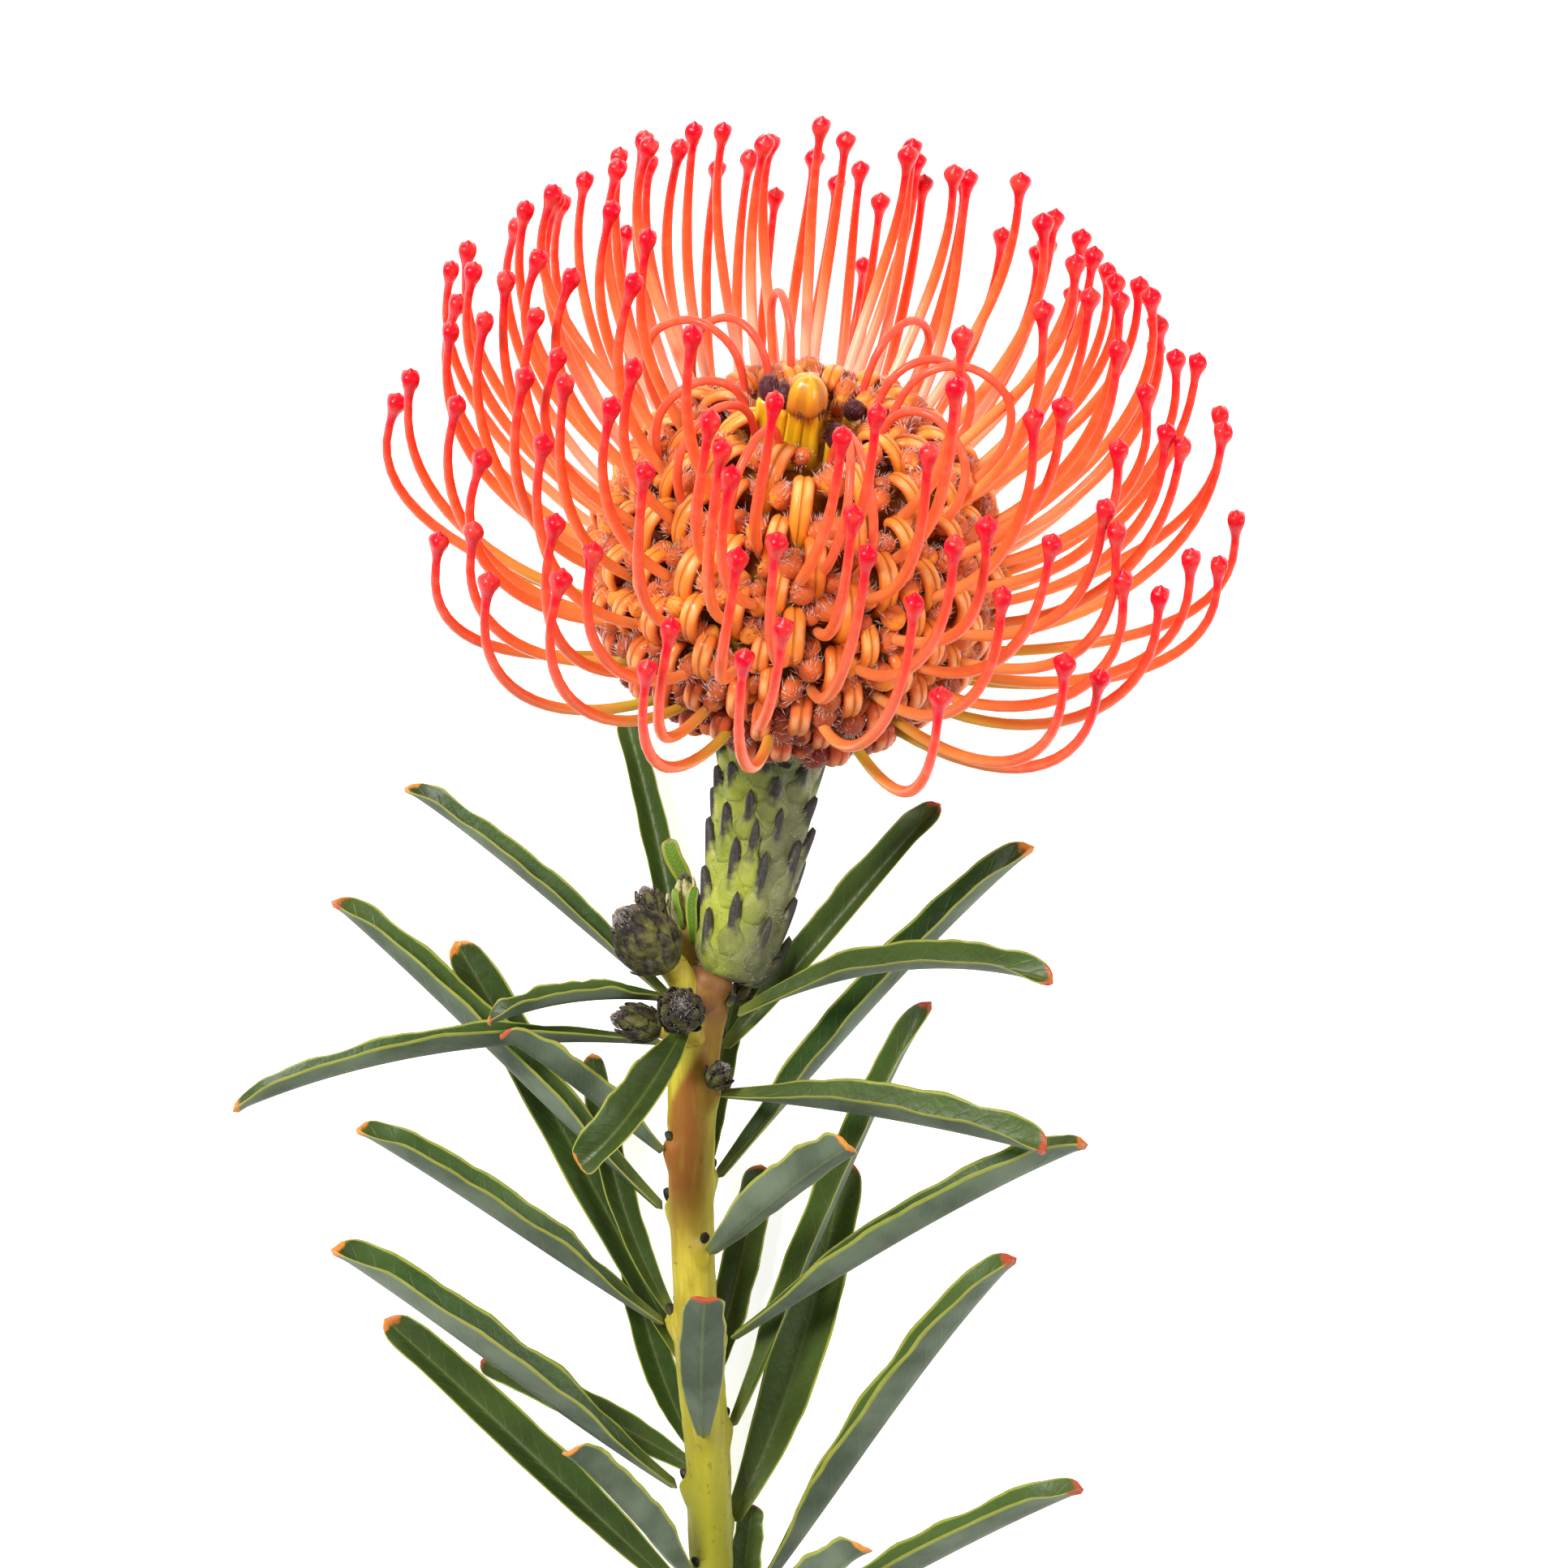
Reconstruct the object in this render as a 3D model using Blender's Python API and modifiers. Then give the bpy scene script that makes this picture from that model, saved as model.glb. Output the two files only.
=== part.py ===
"""Pincushion protea: one cut flower head on its leafy stem, lying on its back.

Lengths below are millimetres in the design frame: +X is the flower's right, +Y runs
from the cut foot of the stem towards the head, +Z is up from the surface it lies on.
The finished pieces hang from one empty, which sets the middle of the whole flower's
underside at the world's origin.
"""

import math
import random

import bmesh
import bpy
from mathutils import Vector

MM = 0.001
GAP = 0.45  # clearance kept between neighbouring pieces
GOLDEN_ANGLE = math.radians(137.50776)

# The flower head: a woody core with florets set on it in a golden-angle spiral.
HEAD_MIDDLE = Vector((1.4, 26.8, 34.0))
HEAD_AXIS = Vector((0.1, math.cos(math.radians(41)), math.sin(math.radians(41)))).normalized()
CORE_RADIUS = 20.0
CORE_HALF_HEIGHT = 18.0
CORE_FOOT_RADIUS = 6.4
CORE_FOOT_HEIGHT = -26.0
CORE_SIDES = 18

# Florets are counted from the base of the head; each has its angle from the axis.
STYLE_COUNT = 128
LOWEST_FLORET = 139.0
HIGHEST_OPEN_FLORET = 40.0
LOW_STYLE_REACH = 53.0  # from the middle of the head to the neck of a style's knob
TOP_STYLE_REACH = 48.5
RIGHT_LEAN = 1.0  # styles on the head's right side reach further by this
# Towards these sides of the head (degrees) the styles reach further or less, in mm.
SIDE_LEANS = ((222, 3.0), (140, -2.2))
LEAN_SPREAD = 34.0  # degrees
LOW_TIP_ANGLE = 77.0  # from the axis to the neck of a style in the lowest whorl
TOP_TIP_ANGLE = 30.0
STYLE_ROOT_DEPTH = 1.8
STYLE_BENDS = (0.0, 0.36, 0.64, 0.86)  # shares along a style's curve at which it bends
STYLE_ROOT_RADIUS = 0.8
STYLE_NECK_RADIUS = 0.55
KNOB_RADIUS = 1.15
KNOB_LENGTH = 4.6

LOOP_COUNT = 12
CURL_COUNT = 88
CURL_WIDTH = 2.4
LOWEST_CURL = 128.0
HIGHEST_CURL = 24.0
CURL_TURN = 0.9  # turns the curls' spiral against the styles'
# A curl's line: distance down the head, height off the core, share of the width.
CURL_OUTLINE = ((3.2, -2.4, 0.9), (2.8, 3.0, 1.1), (-0.6, 5.4, 1.15), (-2.2, 3.0, 1.5))
# A looped style's line: distance off the head's axis, height above its middle.
LOOP_OUTLINE = (
    (15.0, 9.0),
    (20.5, 17.5),
    (20.5, 24.5),
    (15.5, 28.5),
    (10.0, 26.0),
    (7.0, 15.5),
)
APEX_TUBES = 9
APEX_SPACING = 2.3
APEX_DROP = 0.08  # how the crowns fall away from the middle, per mm squared

# The peduncle under the head and the leafy stem below it.
PEDUNCLE_FOOT_RADIUS = 4.9
PEDUNCLE_TOP_RADIUS = 6.6
STEM_RADIUS = 3.0
STEM_SIDES = 10
STEM_ROUTE = [
    Vector(p)
    for p in (
        (-8.6, -119.0, 3.1),
        (-9.3, -104.0, 5.0),
        (-9.9, -88.0, 7.4),
        (-11.2, -70.0, 10.2),
        (-11.8, -52.0, 12.8),
        (-11.4, -36.0, 14.8),
        (-9.8, -27.4, 15.8),
    )
]
PEDUNCLE_FOOT = Vector((-7.0, -25.2, 16.6))
PEDUNCLE_RISE = Vector((-4.0, -14.0, 15.8))
BRACT_COUNT = 44

SOLVER = "MANIFOLD"

LEAF_THICKNESS = 0.7
LEAF_STEPS = 9
LEAF_FOOT_GAP = 1.35  # from the stem's surface to the middle of the blade's foot

# Leaves: height on the stem (mm along Y), side it grows from (degrees round the stem,
# 0 right, 90 up, 180 left, 270 under), tip, width, bow sideways and upwards, the way its
# upper side faces (degrees: 0 towards the head, 90 up, -90 down) and fold.
LEAVES = {
    "leaf_01": (-28, 200, (-49, -0.5, 12), 6.0, (-1.4, 1.0), 26, 45),
    "leaf_02": (-30, 250, (-21, 9, 3), 5.4, (-1.0, -1.0), 78, 34),
    "leaf_03": (-55, 206, (-58, -15, 15), 8.0, (-1.0, 1.0), 20, 46),
    "leaf_04": (-76, 246, (-43, -20.5, 6), 7.8, (-1.0, 0.0), 62, 26),
    "leaf_05": (-33, 176, (-69, -41, 25), 6.0, (-4.6, 4.0), 16, 46),
    "leaf_06": (-26, 160, (-37, -30, 26), 4.9, (-2.2, 2.5), 22, 44),
    "leaf_07": (-31, 118, (-25, -47, 34), 7.8, (1.5, 5.0), 58, 34),
    "leaf_08": (-47, 150, (-35, -31, 31), 6.0, (-1.0, 1.5), -24, 40),
    "leaf_09": (-69, 222, (-25, -35, 7), 5.2, (2.0, 0.5), 60, 30),
    "leaf_10": (-70, 190, (-54, -43.5, 22), 8.0, (-1.2, 3.0), 24, 46),
    "leaf_11": (-92, 196, (-57, -58.5, 23), 9.2, (-1.2, 3.5), 25, 46),
    "leaf_12": (-108, 228, (-52, -69.5, 8), 7.4, (-0.8, 2.0), 55, 28),
    "leaf_13": (-91, 262, (-40, -76, 1.6), 5.4, (-1.0, 0.6), 70, 24),
    "leaf_14": (-88, 252, (-20, -62, 2.2), 5.6, (1.5, 0.0), 74, 24),
    "leaf_15": (-103, 130, (-27, -83, 28), 7.6, (-1.0, 2.0), -34, 38),
    "leaf_16": (-34, 322, (20, -2.5, 15.5), 6.4, (0.5, -0.4), 58, 36),
    "leaf_17": (-51, 318, (32, -8, 16), 8.2, (2.0, 0.0), 28, 44),
    "leaf_18": (-29.5, 12, (33, -24.5, 34), 7.0, (5.2, 0.6), 42, 44),
    "leaf_19": (-84, 322, (19, -28, 12), 7.0, (1.5, 1.6), 27, 43),
    "leaf_20": (-39.6, 36, (32, -45, 36), 8.4, (1.4, 2.5), 30, 44),
    "leaf_21": (-72, 344, (38, -45, 26), 8.4, (2.4, 3.6), 15, 46),
    "leaf_22": (-60, 62, (8, -44, 37), 7.2, (1.0, 1.0), -60, 24),
    "leaf_23": (-84, 92, (-9.7, -63, 34), 7.2, (0.4, 1.5), -84, 22),
    "leaf_24": (-108, 350, (29, -59, 27), 9.0, (2.4, 2.5), 20, 44),
    "leaf_25": (-97, 306, (8, -49, 4.0), 9.2, (-2.0, -0.5), 62, 26),
    "leaf_26": (-80, 272, (-3, -50, 2.6), 6.0, (-0.6, 0.0), 80, 22),
    "leaf_27": (-114, 10, (37, -87, 31), 7.8, (1.6, 2.0), 22, 44),
    "leaf_28": (-112, 60, (10, -94, 32), 7.2, (0.6, 2.0), -50, 28),
    "leaf_29": (-113, 310, (-4, -95, 1.0), 5.0, (0.5, 0.0), 80, 22),
    "leaf_30": (-56, 268, (-6, -26, 6.2), 5.2, (0.4, 0.0), 80, 24),
}

# Buds: middle, direction of the tip, length, width.
BUDS = {
    "bud_large": ((-17.4, -19.6, 21.4), (-0.62, 0.66, 0.32), 11.0, 8.8),
    "bud_pale": ((-12.9, -15.2, 13.2), (0.05, 0.99, 0.12), 7.6, 4.4),
    "bud_cone": ((-18.4, -30.3, 19.5), (-0.94, 0.24, 0.2), 7.4, 5.0),
    "bud_round": ((-12.9, -28.4, 23.8), (0.06, 0.3, 0.95), 6.8, 6.2),
    "bud_hidden": ((-4.8, -26.6, 10.2), (0.6, 0.8, -0.1), 5.4, 3.8),
    "bud_axil": ((-8.4, -37.0, 19.9), (0.6, 0.66, 0.45), 4.4, 3.4),
}


# ---- the head's own frame --------------------------------------------------------

HEAD_RIGHT = (Vector((1, 0, 0)) - HEAD_AXIS * HEAD_AXIS.x).normalized()
HEAD_UP = HEAD_RIGHT.cross(HEAD_AXIS).normalized()


def in_head(radius, height, turn):
    """A point of the head from its distance off the axis, its height and its turn."""
    across = HEAD_RIGHT * math.cos(turn) + HEAD_UP * math.sin(turn)
    return HEAD_MIDDLE + across * radius + HEAD_AXIS * height


def blend(low, high, share):
    return low + (high - low) * share


def smooth_floor(point, clearance):
    """Bends a point that would sink below the surface so that it lies on it."""
    softness = 1.6
    over = point.z - clearance
    if over < -softness:
        over = 0.0
    elif over < softness:
        over = (over + softness) ** 2 / (4 * softness)
    return Vector((point.x, point.y, clearance + over))


def bezier(ends, share):
    """A point of the cubic curve through four control points."""
    rest = 1 - share
    weights = (rest**3, 3 * rest**2 * share, 3 * rest * share**2, share**3)
    return sum((p * w for p, w in zip(ends, weights)), ends[0] * 0)


def through(route, share):
    """A point of the smooth curve through a route's points, share 0 to 1."""
    place = min(max(share, 0.0), 1.0) * (len(route) - 1)
    leg = min(int(place), len(route) - 2)
    t = place - leg
    before = route[leg - 1] if leg else route[0] * 2 - route[1]
    after = route[leg + 2] if leg + 2 < len(route) else route[-1] * 2 - route[-2]
    here, there = route[leg], route[leg + 1]
    return 0.5 * (
        here * 2
        + (there - before) * t
        + (before * 2 - here * 5 + there * 4 - after) * t**2
        + (here * 3 - before - there * 3 + after) * t**3
    )


# ---- making objects --------------------------------------------------------------


def clear_scene():
    for thing in list(bpy.data.objects):
        bpy.data.objects.remove(thing, do_unlink=True)


def new_collection(name):
    made = bpy.data.collections.new(name)
    bpy.context.scene.collection.children.link(made)
    return made


def new_object(name, mesh, collection):
    thing = bpy.data.objects.new(name, mesh)
    collection.objects.link(thing)
    return thing


def material(name, colour, roughness):
    made = bpy.data.materials.new(name)
    made.use_nodes = True
    shader = made.node_tree.nodes["Principled BSDF"]
    shader.inputs["Base Color"].default_value = (*colour, 1)
    shader.inputs["Roughness"].default_value = roughness
    return made


def mesh_from(bm, name):
    """Closes a finished shape up as a mesh whose faces point outwards, in metres."""
    bm.normal_update()
    bmesh.ops.recalc_face_normals(bm, faces=bm.faces)
    bmesh.ops.scale(bm, vec=(MM, MM, MM), verts=bm.verts)
    mesh = bpy.data.meshes.new(name)
    bm.to_mesh(mesh)
    bm.free()
    return mesh


def tube(points, radii, sides, name, collection, flat=1.0, across=None, square_to=None):
    """A closed tube along points, with its own radius at each.

    flat squeezes it at right angles to the direction across, and its last end is cut
    square to square_to.
    """
    bm = bmesh.new()
    bmesh.ops.create_circle(bm, segments=sides, radius=1.0, cap_ends=True)
    face = bm.faces[:][0]
    shape = [v.co.copy() for v in face.verts]
    across = across or Vector((0, 0, 1)).cross(points[-1] - points[0])
    if across.length < 1e-6:
        across = Vector((1, 0, 0))
    for number, (point, radius) in enumerate(zip(points, radii)):
        if number:
            face = bmesh.ops.extrude_discrete_faces(bm, faces=[face])["faces"][0]
        ahead = points[min(number + 1, len(points) - 1)] - points[max(number - 1, 0)]
        if square_to and number == len(points) - 1:
            ahead = square_to.copy()
        ahead.normalize()
        across = (across - ahead * across.dot(ahead)).normalized()
        up = ahead.cross(across)
        for vert, corner in zip(face.verts, shape):
            vert.co = point + (across * corner.x + up * corner.y * flat) * radius
    bmesh.ops.holes_fill(bm, edges=bm.edges, sides=sides)
    return new_object(name, mesh_from(bm, name), collection)


def fuse(body, repeats, solver="EXACT"):
    """Joins every object of a collection to the body, then removes them."""
    union = body.modifiers.new("union", "BOOLEAN")
    union.operation = "UNION"
    union.operand_type = "COLLECTION"
    union.collection = repeats
    union.solver = solver
    graph = bpy.context.evaluated_depsgraph_get()
    joined = bpy.data.meshes.new_from_object(body.evaluated_get(graph))
    body.modifiers.clear()
    body.data = joined
    for thing in list(repeats.objects):
        bpy.data.objects.remove(thing, do_unlink=True)
    bpy.data.collections.remove(repeats)


# ---- the flower head -------------------------------------------------------------


def core_surface(polar, lift=0.0):
    """Distance off the axis and height of the core's surface at an angle from the axis."""
    return (
        (CORE_RADIUS + lift) * math.sin(polar),
        (CORE_HALF_HEIGHT + lift) * math.cos(polar),
    )


def floret_polar(number, count, lowest, highest):
    """Angle from the axis that spreads a spiral's florets evenly over the surface."""
    low, high = math.cos(math.radians(lowest)), math.cos(math.radians(highest))
    return math.acos(blend(low, high, (number + 0.5) / count))


def core(collection):
    """The woody receptacle, turned about the head's axis, with a flat foot."""
    outline = [core_surface(math.radians(a)) for a in (12, 30, 48, 66, 84, 102, 118)]
    outline += [(12.5, -14.5), (8.6, -21.0), (CORE_FOOT_RADIUS, CORE_FOOT_HEIGHT)]
    points = [in_head(0, height, 0) for _, height in outline]
    radii = [radius for radius, _ in outline]
    return tube(points, radii, CORE_SIDES, "flower_head", collection, across=HEAD_RIGHT)


def style_path(number, draw):
    """The curve of one open style: out from the core, then up along the axis."""
    polar = floret_polar(number, STYLE_COUNT, LOWEST_FLORET, HIGHEST_OPEN_FLORET)
    degrees = math.degrees(polar)
    share = (LOWEST_FLORET - degrees) / (LOWEST_FLORET - HIGHEST_OPEN_FLORET)
    rise = math.radians(max(3.0, 18 + (90 - degrees) * 0.75) + draw.uniform(-4, 4))
    turn = number * GOLDEN_ANGLE + draw.uniform(-0.05, 0.05)
    tip_turn = turn + draw.uniform(-0.1, 0.1)
    reach = blend(LOW_STYLE_REACH, TOP_STYLE_REACH, share) + draw.uniform(-2.0, 1.2)
    reach += RIGHT_LEAN * math.cos(turn)
    for side, further in SIDE_LEANS:
        apart = (math.degrees(turn) - side + 180) % 360 - 180
        reach += further * math.exp(-((apart / LEAN_SPREAD) ** 2))
    tip_polar = math.radians(blend(LOW_TIP_ANGLE, TOP_TIP_ANGLE, share) + draw.uniform(-4, 4))
    incurve = math.radians(90 + draw.uniform(0, 14))
    start = core_surface(polar, -STYLE_ROOT_DEPTH)
    tip = (reach * math.sin(tip_polar), reach * math.cos(tip_polar))
    chord = math.dist(start, tip)
    out = (start[0] + 0.46 * chord * math.cos(rise), start[1] + 0.46 * chord * math.sin(rise))
    back = (tip[0] - 0.33 * chord * math.cos(incurve), tip[1] - 0.33 * chord * math.sin(incurve))
    return (
        in_head(*start, turn),
        in_head(*out, turn),
        in_head(*back, tip_turn),
        in_head(*tip, tip_turn),
    )


def styles(collection):
    """The open styles: slender rods, each ending in a pollen presenter."""
    draw = random.Random(11)
    for number in range(STYLE_COUNT):
        path = style_path(number, draw)
        points = [bezier(path, share) for share in STYLE_BENDS]
        ahead = (path[3] - path[2]).normalized()
        points += [path[3], path[3] + ahead * KNOB_LENGTH * 0.62, path[3] + ahead * KNOB_LENGTH]
        radii = [blend(STYLE_ROOT_RADIUS, STYLE_NECK_RADIUS, share) for share in STYLE_BENDS]
        radii += [STYLE_NECK_RADIUS * 1.1, KNOB_RADIUS, 0.5]
        points = [smooth_floor(p, r) for p, r in zip(points, radii)]
        tube(points, radii, 3, f"style_{number}", collection)


def loops(collection):
    """The inner styles whose ends are still held by their florets."""
    draw = random.Random(5)
    for number in range(LOOP_COUNT):
        turn = (number + 0.5) * GOLDEN_ANGLE + draw.uniform(-0.1, 0.1)
        swell = draw.uniform(0.88, 1.12)
        lean = draw.uniform(-0.25, 0.25)
        points = [
            in_head(radius * swell, height * (0.5 + 0.5 * swell), turn + lean * step / 5)
            for step, (radius, height) in enumerate(LOOP_OUTLINE)
        ]
        tube(points, [0.85, 0.75, 0.65, 0.6, 0.6, 0.6], 3, f"loop_{number}", collection)


def curls(collection):
    """The perianths, each rolled back from its style into a hairy-ended curl."""
    draw = random.Random(23)
    for number in range(CURL_COUNT):
        polar = floret_polar(number, CURL_COUNT, LOWEST_CURL, HIGHEST_CURL)
        turn = number * GOLDEN_ANGLE + CURL_TURN
        size = draw.uniform(0.92, 1.08)
        points = []
        for along, lift, _ in CURL_OUTLINE:
            radius, height = core_surface(polar + along * size / CORE_RADIUS, lift * size)
            points.append(smooth_floor(in_head(radius, height, turn), 1.5))
        radii = [CURL_WIDTH / 2 * size * width for _, _, width in CURL_OUTLINE]
        across = HEAD_AXIS.cross(points[1] - points[0])
        tube(points, radii, 3, f"curl_{number}", collection, across=across)


def apex(collection):
    """The closed florets in the middle of the head."""
    for number in range(APEX_TUBES):
        turn = number * GOLDEN_ANGLE
        radius = APEX_SPACING * math.sqrt(number)
        drop = APEX_DROP * radius**2
        points = [
            in_head(radius, 13.0, turn),
            in_head(radius * 1.1, 19.5, turn),
            in_head(radius * 1.15, 22.5 - drop, turn),
            in_head(radius * 1.1, 24.0 - drop, turn),
        ]
        tube(points, [1.0, 1.1, 1.5, 0.6], 4, f"apex_{number}", collection)


def flower_head(collection):
    body = core(collection)
    repeats = new_collection("florets")
    styles(repeats)
    loops(repeats)
    curls(repeats)
    apex(repeats)
    fuse(body, repeats, SOLVER)
    body.data.materials.append(material("styles_and_perianth", (0.93, 0.18, 0.05), 0.4))


# ---- stem, peduncle and bracts ---------------------------------------------------


def stem(collection):
    shares = [step / 16 for step in range(17)]
    points = [through(STEM_ROUTE, share) for share in shares]
    radii = [STEM_RADIUS + 0.12 * math.sin(step * 2.4) for step in range(17)]
    body = tube(points, radii, STEM_SIDES, "stem", collection)
    body.data.materials.append(material("stem_bark", (0.48, 0.45, 0.06), 0.55))


def peduncle_radius(share):
    """The peduncle's radius: a rounded foot, then slowly wider up to the head."""
    foot = min(1.0, 0.6 + 0.4 * math.sqrt(min(1.0, share / 0.08)))
    return foot * blend(PEDUNCLE_FOOT_RADIUS, PEDUNCLE_TOP_RADIUS, share)


def peduncle_line():
    """Control points of the peduncle's middle line, which ends square on the core's foot."""
    top = in_head(0, CORE_FOOT_HEIGHT - GAP, 0)
    return PEDUNCLE_FOOT, PEDUNCLE_RISE, top - HEAD_AXIS * 7, top


def peduncle(collection):
    line = peduncle_line()
    shares = [0, 0.02, 0.08, 0.24, 0.42, 0.6, 0.78, 1.0]
    points = [bezier(line, share) for share in shares]
    radii = [peduncle_radius(share) for share in shares]
    body = tube(points, radii, 14, "peduncle", collection, square_to=HEAD_AXIS)
    repeats = new_collection("bracts")
    for number in range(BRACT_COUNT):
        share = blend(0.09, 0.74, (number + 0.5) / BRACT_COUNT)
        turn = number * GOLDEN_ANGLE
        here, ahead = bezier(line, share), bezier(line, share + 0.08)
        ahead = (ahead - here).normalized()
        side = ahead.cross(Vector((0, 0, 1))).normalized()
        out = side * math.cos(turn) + side.cross(ahead) * math.sin(turn)
        radius = peduncle_radius(share)
        heel = here + out * (radius - 1.2)
        points = [heel, heel + ahead * 1.6 + out * 1.2, heel + ahead * 4.2 + out * 2.1]
        tube(points, [1.3, 1.3, 0.25], 4, f"bract_{number}", repeats, 0.55, ahead.cross(out))
    fuse(body, repeats, SOLVER)
    body.data.materials.append(material("bract_scales", (0.33, 0.42, 0.07), 0.6))


# ---- leaves ----------------------------------------------------------------------


def leaf_half_width(share, width):
    """Half the blade's width: a narrow foot, widest past the middle, a blunt tip."""
    body = math.sin(math.pi * min(1.0, 0.16 + 0.61 * share)) ** 0.8
    tip = math.sqrt(max(0.0, 1 - max(0.0, (share - 0.88) / 0.12) ** 2 * 0.7))
    foot = blend(0.42, 1.0, min(1.0, share / 0.35))
    return 0.5 * width * body * tip * foot


def stem_at(height):
    """The stem's middle line at a height along Y."""
    low, high = 0.0, 1.0
    for _ in range(30):
        middle = (low + high) / 2
        if through(STEM_ROUTE, middle).y < height:
            low = middle
        else:
            high = middle
    return through(STEM_ROUTE, low)


def leaf_midrib(height, side, tip, bow):
    """The midrib's control points, from the stem's surface to the tip."""
    side = math.radians(side)
    out = Vector((math.cos(side), 0, math.sin(side)))
    base = stem_at(height) + out * (STEM_RADIUS + LEAF_FOOT_GAP)
    tip = Vector(tip)
    reach = (tip - base).length
    lateral = Vector((0, 0, 1)).cross(tip - base).normalized()
    lean = lateral * bow[0] + Vector((0, 0, bow[1]))
    first = base + (tip - base) * 0.3 + lean + out * reach * 0.05
    second = base + (tip - base) * 0.7 + lean
    return base, first, second, tip


def leaf_point(midrib, share, place, width, face, fold):
    """A point of the blade's middle surface; place runs -1 to 1 across it."""
    here = bezier(midrib, share)
    ahead = bezier(midrib, min(share + 0.02, 1)) - bezier(midrib, max(share - 0.02, 0))
    ahead.normalize()
    facing = Vector((0, math.cos(math.radians(face)), math.sin(math.radians(face))))
    upper = (facing - ahead * ahead.dot(facing)).normalized()
    wide = upper.cross(ahead)
    half = leaf_half_width(share, width)
    tilt = math.radians(fold) * min(1.0, 0.35 + share * 2.0)
    return here + wide * place * half * math.cos(tilt) + upper * abs(place) * half * math.sin(tilt)


def leaf(name, row, skin, collection):
    height, side, tip, width, bow, face, fold = row
    midrib = leaf_midrib(height, side, tip, bow)
    bm = bmesh.new()
    bmesh.ops.create_grid(bm, x_segments=2, y_segments=LEAF_STEPS, size=1.0)
    for vert in bm.verts:
        share = (vert.co.y + 1) / 2
        point = leaf_point(midrib, share, vert.co.x, width, face, fold)
        vert.co = smooth_floor(point, LEAF_THICKNESS * 0.8)
    bmesh.ops.triangulate(bm, faces=bm.faces)
    bmesh.ops.scale(bm, vec=(MM, MM, MM), verts=bm.verts)
    mesh = bpy.data.meshes.new(name)
    bm.to_mesh(mesh)
    bm.free()
    blade = new_object(name, mesh, collection)
    wall = blade.modifiers.new("thickness", "SOLIDIFY")
    wall.thickness = LEAF_THICKNESS * MM
    wall.offset = 0.0
    mesh.materials.append(skin)


# ---- buds ------------------------------------------------------------------------


def bud(name, row, skin, collection):
    """An egg-shaped bud whose overlapping scales stand out in a spiral."""
    middle, direction, length, width = row
    along = Vector(direction).normalized()
    side = along.cross(Vector((0, 1, 0.3))).normalized()
    up = along.cross(side)
    bm = bmesh.new()
    bmesh.ops.create_uvsphere(bm, u_segments=10, v_segments=8, radius=1.0)
    for number, vert in enumerate(bm.verts):
        share = (vert.co.z + 1) / 2
        taper = 1.08 - 0.5 * share**2
        scale = 1.0 + (0.09 if number % 2 else -0.03)
        radius = width / 2 * taper * scale
        vert.co = (
            Vector(middle)
            + along * vert.co.z * length / 2
            + side * vert.co.x * radius
            + up * vert.co.y * radius
        )
    mesh = mesh_from(bm, name)
    mesh.materials.append(skin)
    new_object(name, mesh, collection)


# ---- the whole flower ------------------------------------------------------------


def rest_on_origin(pieces):
    """Hangs the pieces from an empty that puts their underside's middle at the origin."""
    graph = bpy.context.evaluated_depsgraph_get()
    corners = [Vector(c) for p in pieces for c in p.evaluated_get(graph).bound_box]
    low = Vector([min(c[axis] for c in corners) for axis in range(3)])
    high = Vector([max(c[axis] for c in corners) for axis in range(3)])
    root = bpy.data.objects.new("lying_flower", None)
    bpy.context.scene.collection.objects.link(root)
    root.location = (-(low.x + high.x) / 2, -(low.y + high.y) / 2, -low.z)
    for piece in pieces:
        piece.parent = root
    print("design frame's origin in the part, mm:", [round(c / MM, 3) for c in root.location])
    return root


def main():
    clear_scene()
    pieces = new_collection("pincushion_protea")
    flower_head(pieces)
    peduncle(pieces)
    stem(pieces)
    leaf_skin = material("leaf_blade", (0.07, 0.16, 0.04), 0.5)
    for name, row in LEAVES.items():
        leaf(name, row, leaf_skin, pieces)
    bud_skin = material("bud_scales", (0.1, 0.11, 0.07), 0.7)
    for name, row in BUDS.items():
        bud(name, row, bud_skin, pieces)
    rest_on_origin(list(pieces.objects))


main()
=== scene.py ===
"""Looks of a cut pincushion protea lying on its back.

Shapes are worked out in millimetres in the flower's own design frame: +X is its right,
+Y runs from the cut foot of the stem to the head, +Z is up. A finished piece is moved
to the frame's origin and scaled to metres in one step.
"""

import math
import random

import bmesh
import bpy
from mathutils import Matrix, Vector, noise


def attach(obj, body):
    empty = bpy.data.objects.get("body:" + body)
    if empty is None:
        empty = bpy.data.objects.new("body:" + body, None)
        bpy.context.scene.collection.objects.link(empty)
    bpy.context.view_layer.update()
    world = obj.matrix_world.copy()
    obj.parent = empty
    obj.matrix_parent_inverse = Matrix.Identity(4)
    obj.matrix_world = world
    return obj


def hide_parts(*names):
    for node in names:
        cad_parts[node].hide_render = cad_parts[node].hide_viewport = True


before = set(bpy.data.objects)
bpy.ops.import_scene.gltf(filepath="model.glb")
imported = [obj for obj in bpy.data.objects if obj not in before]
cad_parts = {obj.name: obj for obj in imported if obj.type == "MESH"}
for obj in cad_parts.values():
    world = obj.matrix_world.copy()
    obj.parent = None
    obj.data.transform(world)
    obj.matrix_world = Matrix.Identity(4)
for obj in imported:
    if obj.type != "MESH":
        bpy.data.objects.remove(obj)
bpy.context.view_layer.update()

MM = 0.001
DESIGN_ORIGIN = Vector((7.175, 19.048, -0.123))  # where the design frame's origin lies
GOLDEN_ANGLE = math.radians(137.50776)

# ---- sizes shared with the solids ----------------------------------------------------

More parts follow.
